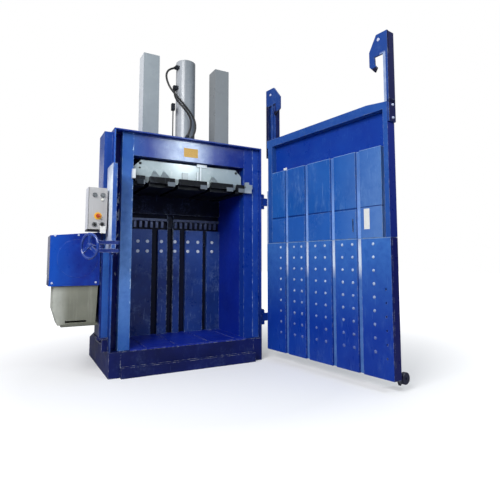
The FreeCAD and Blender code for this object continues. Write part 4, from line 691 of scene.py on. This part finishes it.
make_piece("fascia_bolts", fascia_bolts, BLACK, "platen")

# Worn caps on the studs of the rear panels.
REAR_FACE = 0.66
CAP_RADIUS = 0.018
CAP_PLACES = (-0.368, -0.267, -0.114, 0.039, 0.190, 0.310, 0.482)
CAP_LEVELS = (1.217, 1.113)


def rear_stud_caps(shape):
    for x in CAP_PLACES:
        for z in CAP_LEVELS:
            disc(shape, (x, 0, z), CAP_RADIUS, REAR_FACE + 0.0005, REAR_FACE - 0.007, cap=0.5)


make_piece("rear_stud_caps", rear_stud_caps, STUD_WHITE, "frame")

# -------------------------------------------------------------------------- lifting arms

GATE_TOP = 2.297
ARM_FAR = 0.776
ARM_FRONT, ARM_BACK = -0.095, -0.008
ARM_FOOT = GATE_TOP - 0.035
HOOK_TOP = 2.862
ARM_NECK = HOOK_TOP - 0.18
HOOK_PLATE = 0.018
TOE = 0.022
SHEET = 0.008
FLANGE = 0.044
LAP_FOOT = 2.113
LAP_WIDTH = 0.016
LAP_BOLTS = (2.143, 2.249)

# Sections of the two arms: distance from the outer face of the arm, and depth.
CHANNEL = [(0.0, ARM_FRONT), (FLANGE, ARM_FRONT), (FLANGE, ARM_FRONT + SHEET),
           (SHEET, ARM_FRONT + SHEET), (SHEET, ARM_BACK - SHEET), (FLANGE, ARM_BACK - SHEET),
           (FLANGE, ARM_BACK), (0.0, ARM_BACK)]
RIBBED = [(0.0, ARM_FRONT), (0.125, ARM_FRONT), (0.125, ARM_BACK - 0.03),
          (0.104, ARM_BACK - 0.03), (0.104, ARM_BACK - 0.004), (0.086, ARM_BACK - 0.004),
          (0.086, ARM_BACK - 0.03), (FLANGE, ARM_BACK - 0.03), (FLANGE, ARM_BACK),
          (0.0, ARM_BACK)]


def lifting_arm(name, side, section, width, reach, finger, slope, bolt):
    """Arm of folded sheet with a hook plate flush with its inner face.

    side is -1 at the free end and 1 at the hinge. Seen across the door, width is the hook's
    root, reach its whole width, finger its nose and slope the width of its slanting top.
    bolt is where the bolt sits, inwards from the arm's outer face and down from its top.
    """
    def out(distance):
        return side * (ARM_FAR - distance)

    def build(shape):
        prism(shape, [(out(x), y) for x, y in section], ARM_FOOT, ARM_NECK, (0, 1, 2),
              DOOR_TURN)
        neck = [(0.0, 0.18), (FLANGE, 0.18), (FLANGE, 0.004), (0.0, 0.004)]
        prism(shape, [(out(x), HOOK_TOP - drop) for x, drop in neck], ARM_FRONT,
              ARM_BACK - 0.004, turn=DOOR_TURN)
        mouth = reach - finger
        hook = [(0.0, 0.19), (width, 0.182), (mouth + 0.003, 0.182), (mouth, 0.246),
                (mouth - TOE, 0.276), (mouth, 0.312), (reach, 0.252), (reach, 0.126),
                (reach - slope, 0.0), (0.0, 0.0)]
        prism(shape, [(out(x), HOOK_TOP - drop) for x, drop in hook], ARM_BACK - HOOK_PLATE,
              ARM_BACK, turn=DOOR_TURN)
        lap = [(0.0, LAP_FOOT), (LAP_WIDTH, LAP_FOOT), (LAP_WIDTH, GATE_TOP), (0.0, GATE_TOP)]
        prism(shape, [(out(x), z) for x, z in lap], ARM_FRONT, ARM_BACK, turn=DOOR_TURN)

    def heads(shape):
        disc(shape, (out(bolt[0]), 0, HOOK_TOP - bolt[1]), 0.014, ARM_BACK, ARM_BACK + 0.004,
             turn=DOOR_TURN)
        for level in LAP_BOLTS:
            disc(shape, (0, (ARM_FRONT + ARM_BACK) / 2, level), 0.010, side * ARM_FAR,
                 side * (ARM_FAR + 0.01), axis=0, turn=DOOR_TURN)

    arm = make_piece(name + "_sheet", build, ARM_BLUE, "gate")
    soften(arm)
    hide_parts(name)
    make_piece(name + "_bolts", heads, PALE_BOLT, "gate")


lifting_arm("lifting_arm_left", -1, CHANNEL, FLANGE, 0.178, 0.053, 0.072, (0.084, 0.05))
lifting_arm("lifting_arm_right", 1, RIBBED, 0.125, 0.23, 0.085, 0.1, (0.076, 0.066))

# ---------------------------------------------------------------------------- on the gate

STRIP_FACE = -0.005
SHEET_FACE = -0.065
GATE_BOTTOM = 1.193
GROOVES = (-0.452, -0.165, 0.165, 0.452)
HALF_GROOVE = 0.023
LINER_ENDS = (-0.690, 0.676)
LINER_TOPS = (1.446, 1.436, 1.442, 1.436, 1.43)
LINER_GAP = 0.004


def gate_liners(shape):
    """Thin wear plates over the foot of each strip of the gate."""
    starts = [LINER_ENDS[0]] + [middle + HALF_GROOVE for middle in GROOVES]
    stops = [middle - HALF_GROOVE for middle in GROOVES] + [LINER_ENDS[1]]
    for start, stop, top in zip(starts, stops, LINER_TOPS):
        add_box(shape, (start + LINER_GAP, STRIP_FACE - 0.0002, GATE_BOTTOM + 0.003),
                (stop - LINER_GAP, STRIP_FACE + 0.0022, top), DOOR_TURN)


soften(make_piece("gate_liners", gate_liners, LINER_BLUE, "gate"), 0.0008)
plate("gate_blank_plate", (-0.568, STRIP_FACE + 0.002, 1.266),
      (-0.513, STRIP_FACE + 0.004, 1.435), WHITE, "gate", 0.0006, DOOR_TURN)
plate("gate_slot_cover", (-0.401, STRIP_FACE + 0.002, 1.251),
      (-0.391, STRIP_FACE + 0.0035, 1.361), FOOT_BLUE, "gate", 0.0006, DOOR_TURN)
plate("gate_tape", (0.506, SHEET_FACE - 0.0002, 1.946), (0.556, SHEET_FACE + 0.001, 1.972),
      WHITE, "gate", 0.0004, DOOR_TURN)

# ------------------------------------------------------------------- on the control box

PANEL_FACE = -0.06
RING_SIDES = 28
# Section of a ring: radius, and height above the panel.
RING_SECTION = ((0.016, 0.0), (0.0165, 0.003), (0.0205, 0.003), (0.0215, 0.0))


def control_rings(shape):
    """Chromed rings round the knobs and push buttons."""
    for name in ("selector_left", "selector_right", "button_up", "button_down"):
        low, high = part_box(name)
        middle = [(high[i] + low[i]) / 2 for i in range(3)]
        loops = [round_loop(shape, middle, radius, PANEL_FACE - height, 1, None, RING_SIDES)
                 for radius, height in RING_SECTION]
        join_loops(shape, loops + loops[:1])


make_piece("control_rings", control_rings, BRIGHT_STEEL, "frame")
plate("panel_seam", (-0.9705, PANEL_FACE - 0.0008, 1.277), (-0.9675, PANEL_FACE + 0.001, 1.632),
      DARK_STEEL, "frame", 0.0003)
plate("blank_tag", (-0.872, PANEL_FACE - 0.0055, 1.243), (-0.824, PANEL_FACE - 0.0035, 1.306),
      WHITE, "frame", 0.0006)

# --------------------------------------------------------------------- on the power pack

COVER_FACE = 0.1
COVER_BOLTS = [(-1.218, 0.822), (-0.868, 0.822), (-1.205, 1.222), (-1.02, 1.232)]
BOSS_MIDDLE = (-1.02, 0, 1.03)


def cover_bolts(shape):
    for x, z in COVER_BOLTS:
        disc(shape, (x, 0, z), 0.009, COVER_FACE, COVER_FACE - 0.005)


def cover_boss(shape):
    """The round swelling in the cover, in front of the motor."""
    disc(shape, BOSS_MIDDLE, 0.165, COVER_FACE, COVER_FACE - 0.004, sides=64, cap=0.5)


make_piece("cover_bolts", cover_bolts, PALE_BOLT, "frame")
soften(make_piece("cover_boss", cover_boss, CABINET_BLUE, "frame"), 0.001)
plate("tank_lip", (-1.138, 0.09, 0.452), (-0.844, 0.399, 0.472), LIP_GREY, "frame", 0.002)

# ---------------------------------------------------------------------------------- hoses

HOSE_RADIUS = 0.010

# Routes from the upper fitting to the lower one, in millimetres.
SUPPLY_ROUTE = [(-138, 235, 2988), (-181, 226, 2966), (-216, 213, 2930), (-235, 196, 2880),
                (-234, 176, 2820), (-214, 152, 2746), (-174, 130, 2682), (-122, 114, 2622),
                (-66, 105, 2562), (-10, 101, 2500), (34, 100, 2436), (50, 100, 2366),
                (42, 99, 2302), (18, 98, 2248)]
RETURN_ROUTE = [(-128, 246, 2752), (-132, 236, 2706), (-124, 212, 2658), (-102, 180, 2610),
                (-64, 154, 2560), (-20, 141, 2504), (10, 138, 2442), (14, 139, 2378),
                (4, 143, 2322), (-18, 147, 2272)]


def hose(name, route):
    """A hydraulic hose: a round tube on a smooth line through its route."""
    curve = bpy.data.curves.new(name, "CURVE")
    curve.dimensions = "3D"
    curve.bevel_depth = HOSE_RADIUS
    curve.bevel_resolution = 5
    curve.resolution_u = 8
    curve.use_fill_caps = True
    spline = curve.splines.new("NURBS")
    spline.points.add(len(route) - 1)
    for point, place in zip(spline.points, route):
        point.co = (place[0] / 1000, place[1] / 1000, place[2] / 1000, 1.0)
    spline.order_u = 3
    spline.use_endpoint_u = True
    obj = bpy.data.objects.new(name + "_line", curve)
    scene.collection.objects.link(obj)
    obj.data.materials.append(RUBBER)
    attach(obj, "frame")
    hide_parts(name)


hose("supply_hose", SUPPLY_ROUTE)
hose("return_hose", RETURN_ROUTE)

# ------------------------------------------------------------------------- small bevels

# The door's strips keep their sharp edges, and the rest here is replaced by pieces above.
UNBEVELLED = {"supply_hose", "return_hose", "door_strips", "lifting_arm_left",
              "lifting_arm_right"}
for name, obj in NODES.items():
    if name not in UNBEVELLED:
        soften(obj, 0.002)

# ------------------------------------------------------------------------ floor and light

FLOOR_HALF = 30


def floor_material():
    """Pale to the camera, grey to the light that would bounce back up on the machine."""
    graph = Graph("floor")
    lit = graph.add("ShaderNodeBsdfDiffuse")
    lit.inputs["Color"].default_value = (0.42, 0.42, 0.43, 1.0)
    glow = graph.add("ShaderNodeEmission")
    glow.inputs["Color"].default_value = (1.0, 1.0, 1.0, 1.0)
    place = graph.add("ShaderNodeTexCoord")
    distance = graph.add("ShaderNodeVectorMath", operation="LENGTH")
    graph.link(place.outputs["Object"], distance.inputs[0])
    graph.link(graph.ramp(distance.outputs["Value"], 1.4, 5.0, 0.22, 1.0),
               glow.inputs["Strength"])
    pale = graph.add("ShaderNodeBsdfDiffuse")
    pale.inputs["Color"].default_value = (0.72, 0.72, 0.73, 1.0)
    both = graph.add("ShaderNodeAddShader")
    choice = graph.add("ShaderNodeMixShader")
    rays = graph.add("ShaderNodeLightPath")
    graph.link(pale.outputs["BSDF"], both.inputs[0])
    graph.link(glow.outputs["Emission"], both.inputs[1])
    graph.link(rays.outputs["Is Camera Ray"], choice.inputs["Fac"])
    graph.link(lit.outputs["BSDF"], choice.inputs[1])
    graph.link(both.outputs["Shader"], choice.inputs[2])
    graph.link(choice.outputs["Shader"], graph.output.inputs["Surface"])
    return graph.material


floor_mesh = bpy.data.meshes.new("floor")
floor_mesh.from_pydata([(-FLOOR_HALF, -FLOOR_HALF, 0), (FLOOR_HALF, -FLOOR_HALF, 0),
                        (FLOOR_HALF, FLOOR_HALF, 0), (-FLOOR_HALF, FLOOR_HALF, 0)], [],
                       [(0, 1, 2, 3)])
floor = bpy.data.objects.new("floor", floor_mesh)
scene.collection.objects.link(floor)
floor.data.materials.append(floor_material())


def studio_world():
    """White to the camera, a room that is bright above and dark below to everything else."""
    world = bpy.data.worlds.new("world")
    world.use_nodes = True
    tree = world.node_tree
    tree.nodes.clear()
    out = tree.nodes.new("ShaderNodeOutputWorld")
    place = tree.nodes.new("ShaderNodeTexCoord")
    parts = tree.nodes.new("ShaderNodeSeparateXYZ")
    tree.links.new(place.outputs["Generated"], parts.inputs["Vector"])

    def sky(color, low, high, dark, bright):
        ramp = tree.nodes.new("ShaderNodeMapRange")
        ramp.clamp = True
        ramp.inputs["From Min"].default_value = low
        ramp.inputs["From Max"].default_value = high
        ramp.inputs["To Min"].default_value = dark
        ramp.inputs["To Max"].default_value = bright
        tree.links.new(parts.outputs["Z"], ramp.inputs["Value"])
        light = tree.nodes.new("ShaderNodeBackground")
        light.inputs["Color"].default_value = color
        tree.links.new(ramp.outputs["Result"], light.inputs["Strength"])
        return light

    seen = tree.nodes.new("ShaderNodeBackground")
    seen.inputs["Color"].default_value = (1, 1, 1, 1)
    seen.inputs["Strength"].default_value = 1.0
    mirrored = sky((0.97, 0.98, 1.0, 1.0), 0.05, 0.9, 0.12, 1.0)
    ambient = sky((0.93, 0.96, 1.0, 1.0), -0.3, 0.8, 0.08, 0.55)
    rays = tree.nodes.new("ShaderNodeLightPath")
    either = tree.nodes.new("ShaderNodeMath")
    either.operation = "MAXIMUM"
    tree.links.new(rays.outputs["Is Glossy Ray"], either.inputs[0])
    tree.links.new(rays.outputs["Is Transmission Ray"], either.inputs[1])
    first = tree.nodes.new("ShaderNodeMixShader")
    second = tree.nodes.new("ShaderNodeMixShader")
    tree.links.new(either.outputs["Value"], first.inputs["Fac"])
    tree.links.new(ambient.outputs["Background"], first.inputs[1])
    tree.links.new(mirrored.outputs["Background"], first.inputs[2])
    tree.links.new(rays.outputs["Is Camera Ray"], second.inputs["Fac"])
    tree.links.new(first.outputs["Shader"], second.inputs[1])
    tree.links.new(seen.outputs["Background"], second.inputs[2])
    tree.links.new(second.outputs["Shader"], out.inputs["Surface"])
    return world


scene.world = studio_world()


def area_light(name, place, target, size, power, color=(1, 1, 1)):
    """A rectangular lamp that points at a target."""
    data = bpy.data.lights.new(name, "AREA")
    data.shape = "RECTANGLE"
    data.size, data.size_y = size
    data.energy = power
    data.color = color
    obj = bpy.data.objects.new(name, data)
    scene.collection.objects.link(obj)
    obj.location = place
    direction = Vector(target) - Vector(place)
    obj.rotation_euler = direction.to_track_quat("-Z", "Y").to_euler()


area_light("key", (-4.1, -3.3, 4.2), (0.1, 0, 1.5), (3.0, 3.0), 330)
area_light("front", (1.51, -4.3, 3.3), (0.0, 0, 2.0), (0.4, 0.9), 44, (0.84, 0.96, 1.0))
area_light("back_left", (-1.5, 3.4, 1.7), (-0.9, 0.0, 1.4), (0.9, 2.0), 5)

# ------------------------------------------------------------------------------------ end

bpy.context.view_layer.update()
